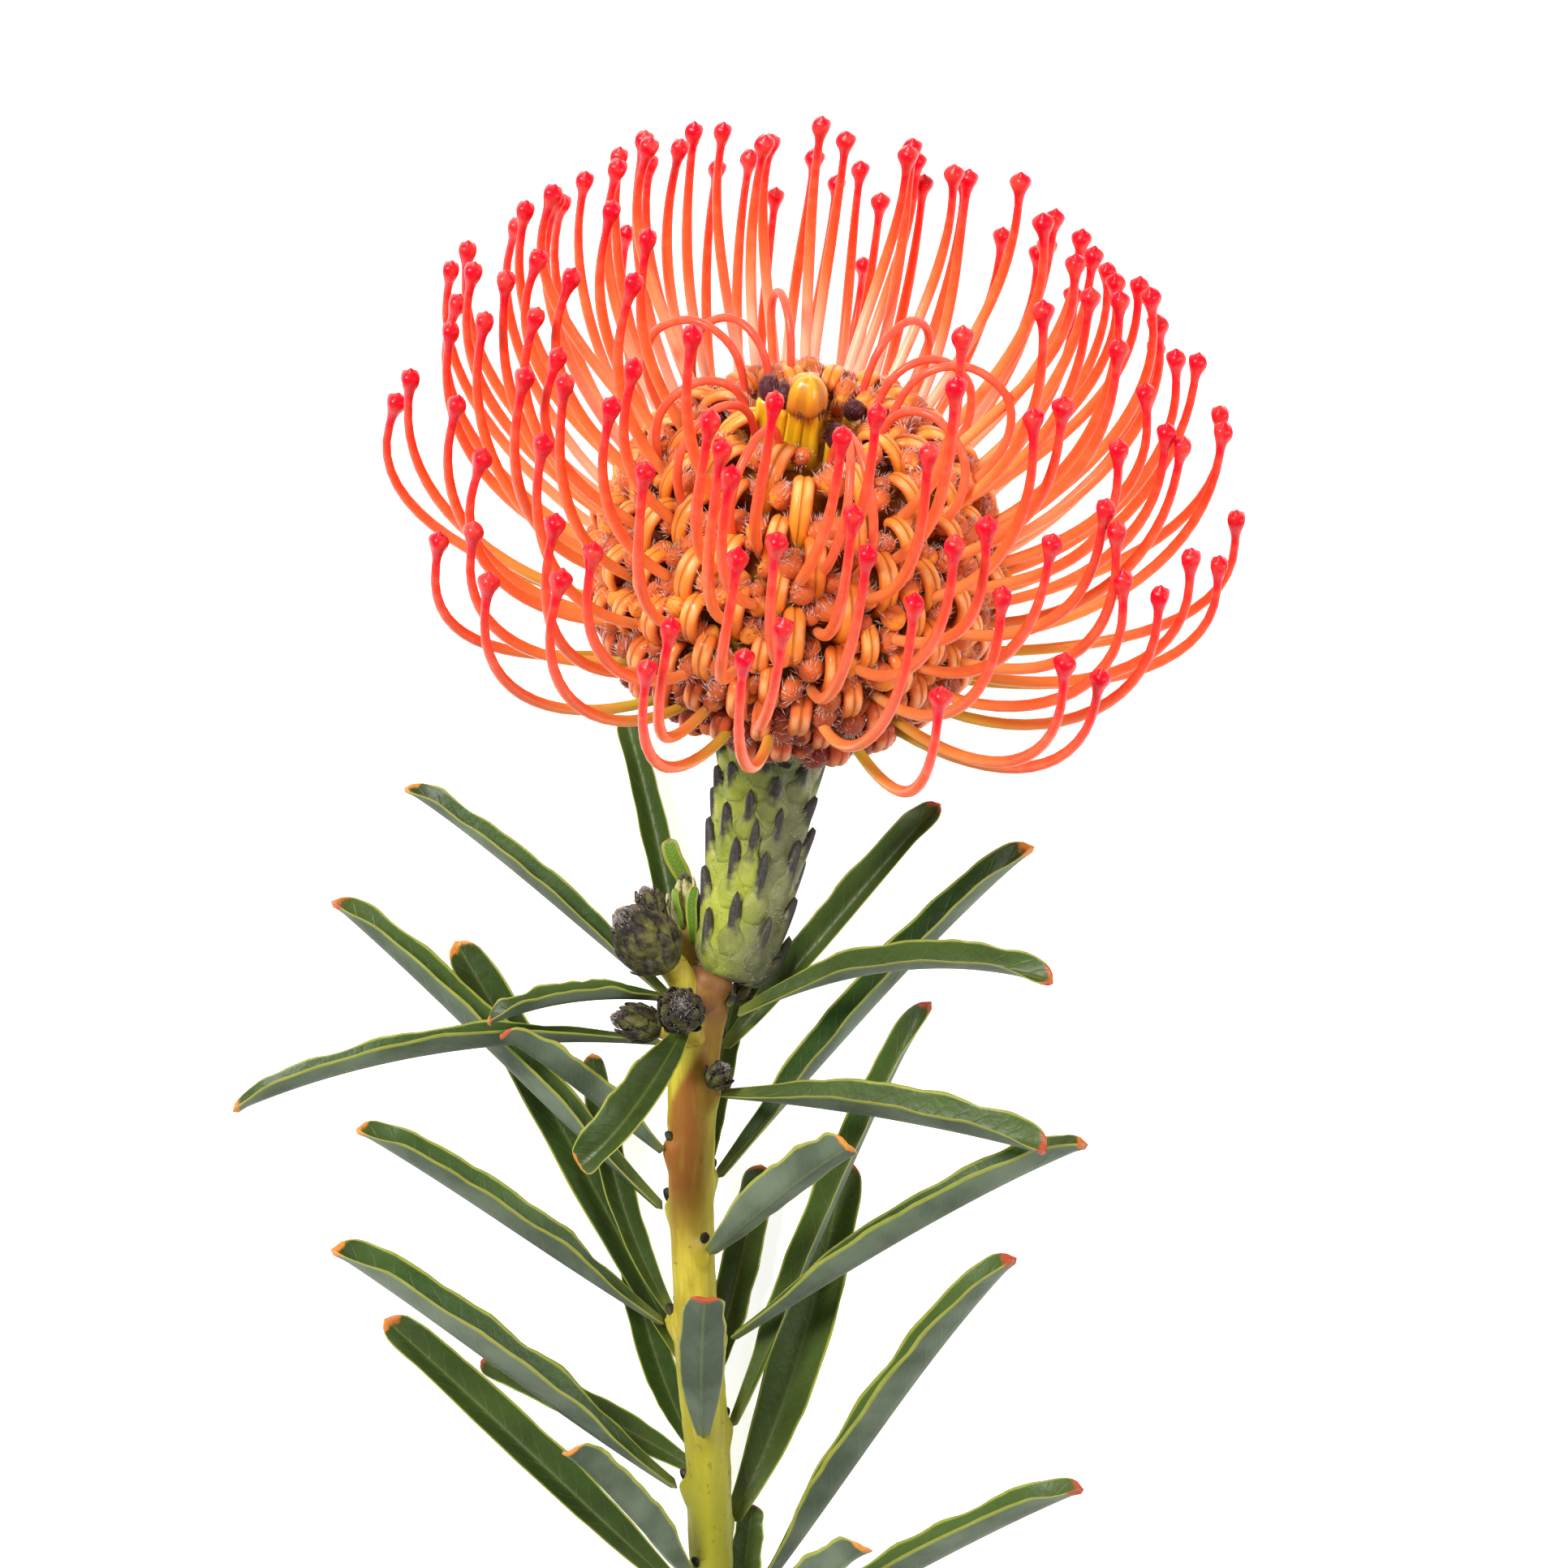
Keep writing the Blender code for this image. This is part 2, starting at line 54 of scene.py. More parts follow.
HEAD_MIDDLE = Vector((1.4, 26.8, 34.0))
HEAD_AXIS = Vector((0.1, math.cos(math.radians(41)), math.sin(math.radians(41)))).normalized()
HEAD_RIGHT = (Vector((1, 0, 0)) - HEAD_AXIS * HEAD_AXIS.x).normalized()
HEAD_UP = HEAD_RIGHT.cross(HEAD_AXIS).normalized()
CORE_RADIUS = 20.0
CORE_HALF_HEIGHT = 18.0
CORE_FOOT_RADIUS = 6.4
CORE_FOOT_HEIGHT = -26.0
GAP = 0.45  # between the head's foot and the peduncle

STYLE_COUNT = 128
LOWEST_FLORET = 139.0  # degrees from the head's axis
HIGHEST_OPEN_FLORET = 40.0
LOW_STYLE_REACH = 53.0  # from the middle of the head to the neck of a style's knob
TOP_STYLE_REACH = 48.5
RIGHT_LEAN = 1.0  # styles on the head's right side reach further by this
SIDE_LEANS = ((222, 3.0), (140, -2.2))  # degrees round the head, and how much further there
LEAN_SPREAD = 34.0  # degrees
LOW_TIP_ANGLE = 77.0  # from the axis to the neck of a style in the lowest whorl
TOP_TIP_ANGLE = 30.0
STYLE_ROOT_DEPTH = 1.8
LOOP_COUNT = 12
APEX_TUBES = 9
APEX_SPACING = 2.3
APEX_DROP = 0.08  # how the crowns fall away from the middle, per mm squared

PEDUNCLE_FOOT_RADIUS = 4.9
PEDUNCLE_TOP_RADIUS = 6.6
PEDUNCLE_FOOT = Vector((-7.0, -25.2, 16.6))
PEDUNCLE_RISE = Vector((-4.0, -14.0, 15.8))
BRACT_COUNT = 44

STEM_RADIUS = 3.0
STEM_ROUTE = [
    Vector(p)
    for p in (
        (-8.6, -119.0, 3.1),
        (-9.3, -104.0, 5.0),
        (-9.9, -88.0, 7.4),
        (-11.2, -70.0, 10.2),
        (-11.8, -52.0, 12.8),
        (-11.4, -36.0, 14.8),
        (-9.8, -27.4, 15.8),
    )
]

LEAF_FOOT_GAP = 1.35  # from the stem's surface to the middle of the blade's foot
# Leaves: height on the stem, side it grows from, tip, width, bow, the way the upper side
# faces (degrees: 0 towards the head, 90 up, -90 down) and fold.
LEAVES = {
    "leaf_01": (-28, 200, (-49, -0.5, 12), 6.0, (-1.4, 1.0), 26, 45),
    "leaf_02": (-30, 250, (-21, 9, 3), 5.4, (-1.0, -1.0), 78, 34),
    "leaf_03": (-55, 206, (-58, -15, 15), 8.0, (-1.0, 1.0), 20, 46),
    "leaf_04": (-76, 246, (-43, -20.5, 6), 7.8, (-1.0, 0.0), 62, 26),
    "leaf_05": (-33, 176, (-69, -41, 25), 6.0, (-4.6, 4.0), 16, 46),
    "leaf_06": (-26, 160, (-37, -30, 26), 4.9, (-2.2, 2.5), 22, 44),
    "leaf_07": (-31, 118, (-25, -47, 34), 7.8, (1.5, 5.0), 58, 34),
    "leaf_08": (-47, 150, (-35, -31, 31), 6.0, (-1.0, 1.5), -24, 40),
    "leaf_09": (-69, 222, (-25, -35, 7), 5.2, (2.0, 0.5), 60, 30),
    "leaf_10": (-70, 190, (-54, -43.5, 22), 8.0, (-1.2, 3.0), 24, 46),
    "leaf_11": (-92, 196, (-57, -58.5, 23), 9.2, (-1.2, 3.5), 25, 46),
    "leaf_12": (-108, 228, (-52, -69.5, 8), 7.4, (-0.8, 2.0), 55, 28),
    "leaf_13": (-91, 262, (-40, -76, 1.6), 5.4, (-1.0, 0.6), 70, 24),
    "leaf_14": (-88, 252, (-20, -62, 2.2), 5.6, (1.5, 0.0), 74, 24),
    "leaf_15": (-103, 130, (-27, -83, 28), 7.6, (-1.0, 2.0), -34, 38),
    "leaf_16": (-34, 322, (20, -2.5, 15.5), 6.4, (0.5, -0.4), 58, 36),
    "leaf_17": (-51, 318, (32, -8, 16), 8.2, (2.0, 0.0), 28, 44),
    "leaf_18": (-29.5, 12, (33, -24.5, 34), 7.0, (5.2, 0.6), 42, 44),
    "leaf_19": (-84, 322, (19, -28, 12), 7.0, (1.5, 1.6), 27, 43),
    "leaf_20": (-39.6, 36, (32, -45, 36), 8.4, (1.4, 2.5), 30, 44),
    "leaf_21": (-72, 344, (38, -45, 26), 8.4, (2.4, 3.6), 15, 46),
    "leaf_22": (-60, 62, (8, -44, 37), 7.2, (1.0, 1.0), -60, 24),
    "leaf_23": (-84, 92, (-9.7, -63, 34), 7.2, (0.4, 1.5), -84, 22),
    "leaf_24": (-108, 350, (29, -59, 27), 9.0, (2.4, 2.5), 20, 44),
    "leaf_25": (-97, 306, (8, -49, 4.0), 9.2, (-2.0, -0.5), 62, 26),
    "leaf_26": (-80, 272, (-3, -50, 2.6), 6.0, (-0.6, 0.0), 80, 22),
    "leaf_27": (-114, 10, (37, -87, 31), 7.8, (1.6, 2.0), 22, 44),
    "leaf_28": (-112, 60, (10, -94, 32), 7.2, (0.6, 2.0), -50, 28),
    "leaf_29": (-113, 310, (-4, -95, 1.0), 5.0, (0.5, 0.0), 80, 22),
    "leaf_30": (-56, 268, (-6, -26, 6.2), 5.2, (0.4, 0.0), 80, 24),
}

# Buds: middle, direction of the tip, length, width, number of scales, how woolly.
BUDS = {
    "bud_large": ((-17.4, -19.6, 21.4), (-0.62, 0.66, 0.32), 11.0, 8.8, 38, 1.0),
    "bud_pale": ((-12.9, -15.2, 13.2), (0.05, 0.99, 0.12), 7.6, 4.4, 9, 0.1),
    "bud_cone": ((-18.4, -30.3, 19.5), (-0.94, 0.24, 0.2), 7.4, 5.0, 18, 0.7),
    "bud_round": ((-12.9, -28.4, 23.8), (0.06, 0.3, 0.95), 6.8, 6.2, 26, 0.9),
    "bud_hidden": ((-4.8, -26.6, 10.2), (0.6, 0.8, -0.1), 5.4, 3.8, 12, 0.5),
    "bud_axil": ((-8.4, -37.0, 19.9), (0.6, 0.66, 0.45), 4.4, 3.4, 12, 0.7),
}

# ---- places and curves ---------------------------------------------------------------


def blend(low, high, share):
    return low + (high - low) * share


def step_up(value, low, high):
    """0 below low, 1 above high, with a smooth rise between."""
    share = min(1.0, max(0.0, (value - low) / (high - low)))
    return share * share * (3 - 2 * share)


def bell(value, width):
    return math.exp(-((value / width) ** 2))


def angle_between(first, second):
    return abs((first - second + math.pi) % math.tau - math.pi)


def around(side, up, turn):
    """The direction at a turn about the axis that side and up stand square to."""
    return side * math.cos(turn) + up * math.sin(turn)


def upright(turn):
    """The direction at a turn about the Y axis, along which the stem runs."""
    return Vector((math.cos(turn), 0, math.sin(turn)))


def in_head(radius, height, turn):
    """A point of the head from its distance off the axis, its height and its turn."""
    return HEAD_MIDDLE + around(HEAD_RIGHT, HEAD_UP, turn) * radius + HEAD_AXIS * height


def smooth_floor(point, clearance):
    """Bends a point that would sink below the surface so that it lies on it."""
    softness = 1.6
    over = point.z - clearance
    if over < -softness:
        over = 0.0
    elif over < softness:
        over = (over + softness) ** 2 / (4 * softness)
    return Vector((point.x, point.y, clearance + over))


def bezier(ends, share):
    """A point of the cubic curve through four control points."""
    rest = 1 - share
    weights = (rest**3, 3 * rest**2 * share, 3 * rest * share**2, share**3)
    return sum((p * w for p, w in zip(ends, weights)), ends[0] * 0)


def through(route, share):
    """A point of the smooth curve through a route's points, share 0 to 1."""
    place = min(max(share, 0.0), 1.0) * (len(route) - 1)
    leg = min(int(place), len(route) - 2)
    t = place - leg
    before = route[leg - 1] if leg else route[0] * 2 - route[1]
    after = route[leg + 2] if leg + 2 < len(route) else route[-1] * 2 - route[-2]
    here, there = route[leg], route[leg + 1]
    return 0.5 * (
        here * 2
        + (there - before) * t
        + (before * 2 - here * 5 + there * 4 - after) * t**2
        + (here * 3 - before - there * 3 + after) * t**3
    )


def flat_route(*points):
    """A route for through() from points in a plane."""
    return [Vector(point) for point in points]


def between_ends(step, steps):
    """Share along a form's sides: its first and last steps only close its ends."""
    return min(1.0, max(0, step - 1) / (steps - 2))


def rough(point, size):
    """Smooth noise from -1 to 1 whose lumps are about size across."""
    return noise.noise(point / size)


def any_direction(draw):
    """A random direction, even over the sphere."""
    height = draw.uniform(-1, 1)
    turn = draw.uniform(0, math.tau)
    ring = math.sqrt(1 - height * height)
    return Vector((ring * math.cos(turn), ring * math.sin(turn), height))


def core_surface(polar, lift=0.0):
    """Distance off the axis and height of the core's surface at an angle from the axis."""
    return (
        (CORE_RADIUS + lift) * math.sin(polar),
        (CORE_HALF_HEIGHT + lift) * math.cos(polar),
    )


def floret_polar(number, count, lowest, highest):
    """Angle from the axis that spreads a spiral's florets evenly over the surface."""
    low, high = math.cos(math.radians(lowest)), math.cos(math.radians(highest))
    return math.acos(blend(low, high, (number + 0.5) / count))


def on_core(polar, turn, down, side, lift):
    """A point near the core: down towards the head's foot, side round it, lift off it."""
    radius, height = core_surface(polar + down / CORE_RADIUS, lift)
    return in_head(radius, height, turn + side / max(radius, 4.0))


# ---- building pieces from closed forms -----------------------------------------------


def closed_form(sides, steps):
    """A seamless form to be shaped: a sphere whose latitudes become steps along a piece
    and whose longitudes become turns round it. It returns the mesh with each vertex's
    share along and turn."""
    bm = bmesh.new()
    bmesh.ops.create_uvsphere(bm, u_segments=sides, v_segments=steps, radius=1.0)
    spots = [
        (math.acos(max(-1.0, min(1.0, -v.co.z))) / math.pi, math.atan2(v.co.y, v.co.x))
        for v in bm.verts
    ]
    mesh = bpy.data.meshes.new("form")
    bm.to_mesh(mesh)
    bm.free()
    return mesh, spots


def hair_form():
    """A three-sided spike, the least closed form for a hair."""
    bm = bmesh.new()
    bmesh.ops.create_cone(bm, cap_ends=True, segments=3, radius1=1, radius2=0, depth=1)
    spots = [(v.co.z + 0.5, math.atan2(v.co.y, v.co.x)) for v in bm.verts]
    mesh = bpy.data.meshes.new("hair")
    bm.to_mesh(mesh)
    bm.free()
    return mesh, spots


HAIR = hair_form()
PAINTED = ("along", "across", "tone", "side")  # the values that materials read


class Piece:
    """One visible piece, put together from closed forms."""

    def __init__(self, name):
        self.name = name
        self.bm = bmesh.new()
        self.points = []
        self.values = []
        self.face_materials = []

    def add(self, form, place, paint, material=0):
        """Adds a form. place(share, turn) gives each point in millimetres and
        paint(share, turn) its along, across, tone and side values."""
        mesh, spots = form
        self.bm.from_mesh(mesh)
        self.points += [place(share, turn) for share, turn in spots]
        self.values += [paint(share, turn) for share, turn in spots]
        self.face_materials += [material] * len(mesh.polygons)

    def finish(self, materials, slot, *nodes):
        """Places every vertex, closes the piece up and hands it to the frame."""
        bm = self.bm
        layers = [bm.verts.layers.float.new(name) for name in PAINTED]
        for vert, point, values in zip(bm.verts, self.points, self.values):
            vert.co = (point + DESIGN_ORIGIN) * MM
            for layer, value in zip(layers, values):
                vert[layer] = value
        for face, material in zip(bm.faces, self.face_materials):
            face.smooth = True
            face.material_index = material
        bm.normal_update()
        bmesh.ops.recalc_face_normals(bm, faces=bm.faces)
        mesh = bpy.data.meshes.new(self.name)
        bm.to_mesh(mesh)
        bm.free()
        for material in materials:
            mesh.materials.append(material)
        piece = bpy.data.objects.new(self.name, mesh)
        bpy.context.scene.collection.objects.link(piece)
        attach(piece, "root")
        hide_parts(*nodes)


def round_section(radii):
    """A round section from a radius for each step."""
    return lambda step, turn: (radii[step] * math.cos(turn), radii[step] * math.sin(turn))


def along_path(points, section, across=None):
    """place() of a tube: each step's ring stands square to the path, and the ends close
    to a point. section(step, turn) gives the two offsets from the path."""
    if across is None:
        ahead = points[-1] - points[0]
        across = ahead.cross(Vector((0.31, 0.17, 0.94)))
    last = len(points) - 1
    rings = []
    for number, point in enumerate(points):
        ahead = points[min(number + 1, last)] - points[max(number - 1, 0)]
        ahead.normalize()
        across = (across - ahead * across.dot(ahead)).normalized()
        rings.append((point, across, ahead.cross(across)))

    def place(share, turn):
        step = round(share * last)
        point, side, up = rings[step]
        if step in (0, last):
            return point
        x, y = section(step, turn)
        return point + side * x + up * y

    return place


def hair(piece, root, tip, radius, tone, material):
    """One hair from its root to its tip."""
    ahead = (tip - root).normalized()
    side = ahead.orthogonal().normalized()
    up = ahead.cross(side)

    def place(share, turn):
        return tip if share > 0.5 else root + around(side, up, turn) * radius

    piece.add(HAIR, place, lambda share, turn: (share, 0.0, tone, 0.0), material)


# ---- colour and material helpers -----------------------------------------------------


def srgb(text):
    """A hex colour as linear RGBA."""
    parts = [int(text[i : i + 2], 16) / 255 for i in (1, 3, 5)]
    return (*[c / 12.92 if c <= 0.04045 else ((c + 0.055) / 1.055) ** 2.4 for c in parts], 1.0)


def new_material(name, **shader_inputs):
    """A material with its Principled shader's constant inputs set, and its node tree."""
    made = bpy.data.materials.new(name)
    made.use_nodes = True
    shader = made.node_tree.nodes["Principled BSDF"]
    for key, value in shader_inputs.items():
        shader.inputs[key.replace("_", " ")].default_value = value
    return made, made.node_tree, shader


# What each kind of node is here: its type, the sockets that its values go to in turn, the
# output that is read, and its settings. "share" maps a range to 0 to 1 with soft ends.
KINDS = {
    "painted": ("Attribute", (), "Fac", {}),
    "place": ("TexCoord", (), "Object", {}),
    "stretch": ("Mapping", ("Vector", "Scale"), 0, {}),
    "noise": ("TexNoise", ("Vector", "Scale", "Detail"), "Fac", {}),
    "share": (
        "MapRange",
        ("Value", "From Min", "From Max"),
        0,
        {"interpolation_type": "SMOOTHSTEP"},
    ),
    "ramp": ("ValToRGB", ("Fac",), 0, {}),
    "mix": ("Mix", (0, 6, 7), 2, {"data_type": "RGBA"}),
    "bump": ("Bump", ("Height", "Distance"), 0, {}),
}
for operation in ("add", "subtract", "multiply", "multiply_add", "absolute", "maximum", "pingpong"):
    KINDS[operation] = ("Math", (0, 1, 2), 0, {"operation": operation.upper()})


def node(tree, kind, *values, stops=(), **settings):
    """Adds a node and gives the output that is read. A value is a constant or the output
    that feeds the socket; stops are a ramp's (position, hex colour) pairs."""
    node_type, sockets, output, fixed = KINDS[kind]
    made = tree.nodes.new("ShaderNode" + node_type)
    for key, value in (fixed | settings).items():
        setattr(made, key, value)
    for socket, value in zip(sockets, values):
        if isinstance(value, bpy.types.NodeSocket):
            tree.links.new(value, made.inputs[socket])
        else:
            made.inputs[socket].default_value = value
    if stops:
        elements = made.color_ramp.elements
        for element, (position, colour) in zip((elements[0], elements[-1]), (stops[0], stops[-1])):
            element.position, element.color = position, srgb(colour)
        for position, colour in stops[1:-1]:
            elements.new(position).color = srgb(colour)
    return made.outputs[output]


def painted_values(tree):
    """The along, across, tone and side values painted on a piece's vertices."""
    return [node(tree, "painted", attribute_name=name) for name in PAINTED]


def product(tree, *factors):
    """Multiplies values together."""
    result = factors[0]
    for factor in factors[1:]:
        result = node(tree, "multiply", result, factor)
    return result


def speckle(tree, millimetres, detail=3.0):
    """Noise whose lumps are about this many millimetres across."""
    return node(tree, "noise", node(tree, "place"), 0.5 / (millimetres * MM), detail)


def bumped(tree, shader, height, depth):
    """Raises the surface by up to depth millimetres."""
    tree.links.new(node(tree, "bump", height, depth * MM), shader.inputs["Normal"])


def coloured(tree, shader, colour):
    tree.links.new(colour, shader.inputs["Base Color"])


# ---- materials -----------------------------------------------------------------------


def style_wax(name, stops, low_stops):
    """Living style tissue under a thin wax: light sinks in a little, so it glows, and the
    skin has a soft wet shine. Its colour runs from the root (0) to the neck (0.5), then
    along the knob (1); low_stops are those of the lowest whorls."""
    made, tree, shader = new_material(
        name,
        Roughness=0.34,
        IOR=1.4,
        Specular_IOR_Level=0.3,
        Subsurface_Weight=0.15,
        Subsurface_Scale=0.0009,
        Subsurface_Radius=(1.0, 0.3, 0.15),
        Coat_Weight=0.1,
        Coat_Roughness=0.12,
    )
    along, backlit, tone, whorl = painted_values(tree)
    halved = product(tree, along, 0.5)
    colour = node(tree, "ramp", halved, stops=stops)
    low_share = node(tree, "share", whorl, 0.34, 0.1)
    rod_only = node(tree, "share", halved, 0.36, 0.3)
    low_root = node(tree, "ramp", halved, stops=low_stops)
    colour = node(tree, "mix", product(tree, low_share, rod_only), colour, low_root)
    # Painted backlight: the styles on the back of the head are seen against the light, so their
    # roots are painted paler, as if it shone through them.
    painted_backlight = product(tree, backlit, node(tree, "share", halved, 0.3, 0.08), 0.75)
    colour = node(tree, "mix", painted_backlight, colour, srgb("#FFE0C8"))
    rod_tone = product(tree, tone, 0.3, node(tree, "share", halved, 0.5, 0.3))
    colour = node(tree, "mix", rod_tone, colour, srgb("#F04A28"))
    # Fine lengthwise streaks, and grains of pollen on the knob, 0.2 mm so that they show.
    streaks = node(tree, "share", speckle(tree, 0.9, 2.0), 0.42, 0.7)
    colour = node(tree, "mix", product(tree, streaks, 0.1), colour, srgb("#FFB27A"))
    grains = node(tree, "share", speckle(tree, 0.2, 1.0), 0.66, 0.72)
    on_knob = node(tree, "share", along, 1.6, 1.85)
    colour = node(tree, "mix", product(tree, grains, on_knob, 0.6), colour, srgb("#FF7A3A"))
    coloured(tree, shader, colour)
    bumped(tree, shader, speckle(tree, 0.35, 2.0), 0.03)
    return made


def perianth_skin():
    """The rolled-back perianth: thin glossy tissue in two strands with a fine groove between
    them, with a painted highlight where it bends over its crest, orange on its flanks, redder
    on the lower, older florets and olive-yellow where it goes down among the others, darker
    there with painted shade."""
    made, tree, shader = new_material(
        "glossy perianth skin",
        Roughness=0.35,
        Specular_IOR_Level=0.2,
        Subsurface_Weight=0.2,
        Subsurface_Scale=0.0009,
        Subsurface_Radius=(1.0, 0.4, 0.15),
        Coat_Weight=0.12,
        Coat_Roughness=0.1,
    )
    along, across, tone, whorl = painted_values(tree)
    # Colour along the curl from its foot (0), where it goes down among the others and its own
    # olive-yellow is darkened with painted shade, over the crest to its end (1).
    upper_stops = (
        (0.0, "#7A6A0C"), (0.16, "#B48A14"), (0.32, "#E8941E"), (0.5, "#F4A040"),
        (0.68, "#F8A444"), (0.85, "#F08A2C"), (1.0, "#C86422"),
    )
    upper = node(tree, "ramp", along, stops=upper_stops)
    lower_stops = (
        (0.0, "#4C460A"), (0.16, "#745410"), (0.32, "#B4521E"), (0.5, "#CC602C"),
        (0.68, "#D4643A"), (0.85, "#A83E24"), (1.0, "#702818"),
    )
    lower = node(tree, "ramp", along, stops=lower_stops)
    colour = node(tree, "mix", node(tree, "share", whorl, 0.1, 0.6), lower, upper)
    colour = node(tree, "mix", product(tree, tone, 0.4), colour, srgb("#DE5A26"))
    off_middle = node(tree, "absolute", across)
    strand = node(tree, "share", off_middle, 0.1, 0.4)
    # Painted highlight: a pale cream spot on each strand where it bends over its crest, fainter on
    # the older florets.
    crest = node(tree, "share", along, 0.53, 0.62)
    crest = product(tree, crest, node(tree, "share", along, 0.72, 0.65))
    fresh = node(tree, "share", whorl, -0.3, 0.4)
    inside = node(tree, "share", off_middle, 0.98, 0.6)
    shine = product(tree, strand, crest, inside, fresh, 0.4)
    colour = node(tree, "mix", shine, colour, srgb("#FFDC9C"))
    # The groove is 0.2 mm wide and darkened with painted shade; the strands' outer edges turn
    # darker and redder.
    groove = node(tree, "share", off_middle, 0.14, 0.04)
    groove = product(tree, groove, node(tree, "share", along, 0.2, 0.35))
    colour = node(tree, "mix", product(tree, groove, 0.5), colour, srgb("#A8481A"))
    edge = node(tree, "share", off_middle, 0.72, 1.0)
    colour = node(tree, "mix", product(tree, edge, 0.6), colour, srgb("#B8461E"))
    coloured(tree, shader, colour)
    relief = node(tree, "subtract", product(tree, speckle(tree, 0.35, 2.0), 0.3), groove)
    bumped(tree, shader, relief, 0.12)
    return made


def limb_felt():
    """The hairy ends of the perianth: golden-orange skin on one side, dull red-brown felt
    on the other, and purple-brown round the middle of the head."""
    made, tree, shader = new_material(
        "perianth limb felt",
        Roughness=0.5,
        Specular_IOR_Level=0.3,
        Sheen_Weight=0.2,
        Sheen_Roughness=0.4,
        Sheen_Tint=srgb("#FFD0B8"),
        Subsurface_Weight=0.15,
        Subsurface_Scale=0.0008,
    )
    _, _, tone, whorl = painted_values(tree)
    patch = product(tree, node(tree, "subtract", speckle(tree, 0.6), 0.5), 1.2)
    felted = node(tree, "share", node(tree, "add", tone, patch), -0.1, 0.35)
    upper = node(tree, "mix", felted, srgb("#F09C30"), srgb("#D06A30"))
    lower = node(tree, "mix", felted, srgb("#C45E24"), srgb("#7E2C1A"))
    colour = node(tree, "mix", node(tree, "share", whorl, 0.05, 0.4), lower, upper)
    colour = node(tree, "mix", node(tree, "share", whorl, 0.8, 0.95), colour, srgb("#4A1A22"))
    coloured(tree, shader, colour)
    bumped(tree, shader, speckle(tree, 0.25), 0.15)
    return made


def down(name, light, dark):
    """Plant hairs: dry, matt and a little see-through; their tips are painted pale, for the
    light that shows through them.
    """
    made, tree, shader = new_material(
        name, Roughness=0.7, Subsurface_Weight=0.2, Subsurface_Scale=0.0005
    )
    along, _, tone, _ = painted_values(tree)
    root_to_tip = node(tree, "add", product(tree, along, 0.55), product(tree, tone, 0.45))
    coloured(tree, shader, node(tree, "mix", root_to_tip, srgb(dark), srgb(light)))
    return made


def receptacle_wool():
    """The woody core between the florets: olive skin under orange-brown wool, darker in
    patches, partly its own colour and partly painted shade between the florets.
    """
    made, tree, shader = new_material("receptacle wool", Roughness=0.9, Specular_IOR_Level=0.1)
    along = node(tree, "painted", attribute_name="along")
    ramp_stops = (
        (0.0, "#8A8E30"), (0.22, "#7C7A1C"), (0.42, "#8A6214"), (0.8, "#A86418"),
        (1.0, "#B07018"),
    )
    ramp = node(tree, "ramp", along, stops=ramp_stops)
    # Dark red-brown patches: the wool's own colour, deepened as painted shade between the florets.
    patch = node(tree, "share", speckle(tree, 1.2), 0.4, 0.7)
    coloured(tree, shader, node(tree, "mix", product(tree, patch, 0.75), ramp, srgb("#6A3410")))
    bumped(tree, shader, speckle(tree, 0.5), 0.5)
    return made


def tube_gold():
    """Closed florets in the middle of the head: smooth, waxy, egg-yellow tubes (0 to 1)
    whose glossy golden caps (1 to 2) turn brown round their lower rim."""
    made, tree, shader = new_material(
        "golden perianth tube",
        Roughness=0.3,
        Subsurface_Weight=0.2,
        Subsurface_Scale=0.0008,
        Coat_Weight=0.4,
        Coat_Roughness=0.1,
    )
    along, across, tone, _ = painted_values(tree)
    ramp_stops = (
        (0.0, "#B4AE20"), (0.2, "#DFBE1C"), (0.36, "#F0C41C"), (0.49, "#F4C424"),
        (0.515, "#43200F"), (0.6, "#7A3E14"), (0.7, "#C47A18"), (0.82, "#E5A41E"),
        (1.0, "#EDB02A"),
    )
    ramp = node(tree, "ramp", product(tree, along, 0.5), stops=ramp_stops)
    colour = node(tree, "mix", product(tree, tone, 0.4), ramp, srgb("#E58A22"))
    # Painted shade darkens the hollows that across marks: between a tube's sides and between a
    # cap's lobes.
    groove = node(tree, "share", across, 0.3, -0.6)
    coloured(tree, shader, node(tree, "mix", product(tree, groove, 0.5), colour, srgb("#9A5F14")))
    bumped(tree, shader, speckle(tree, 0.5), 0.05)
    return made


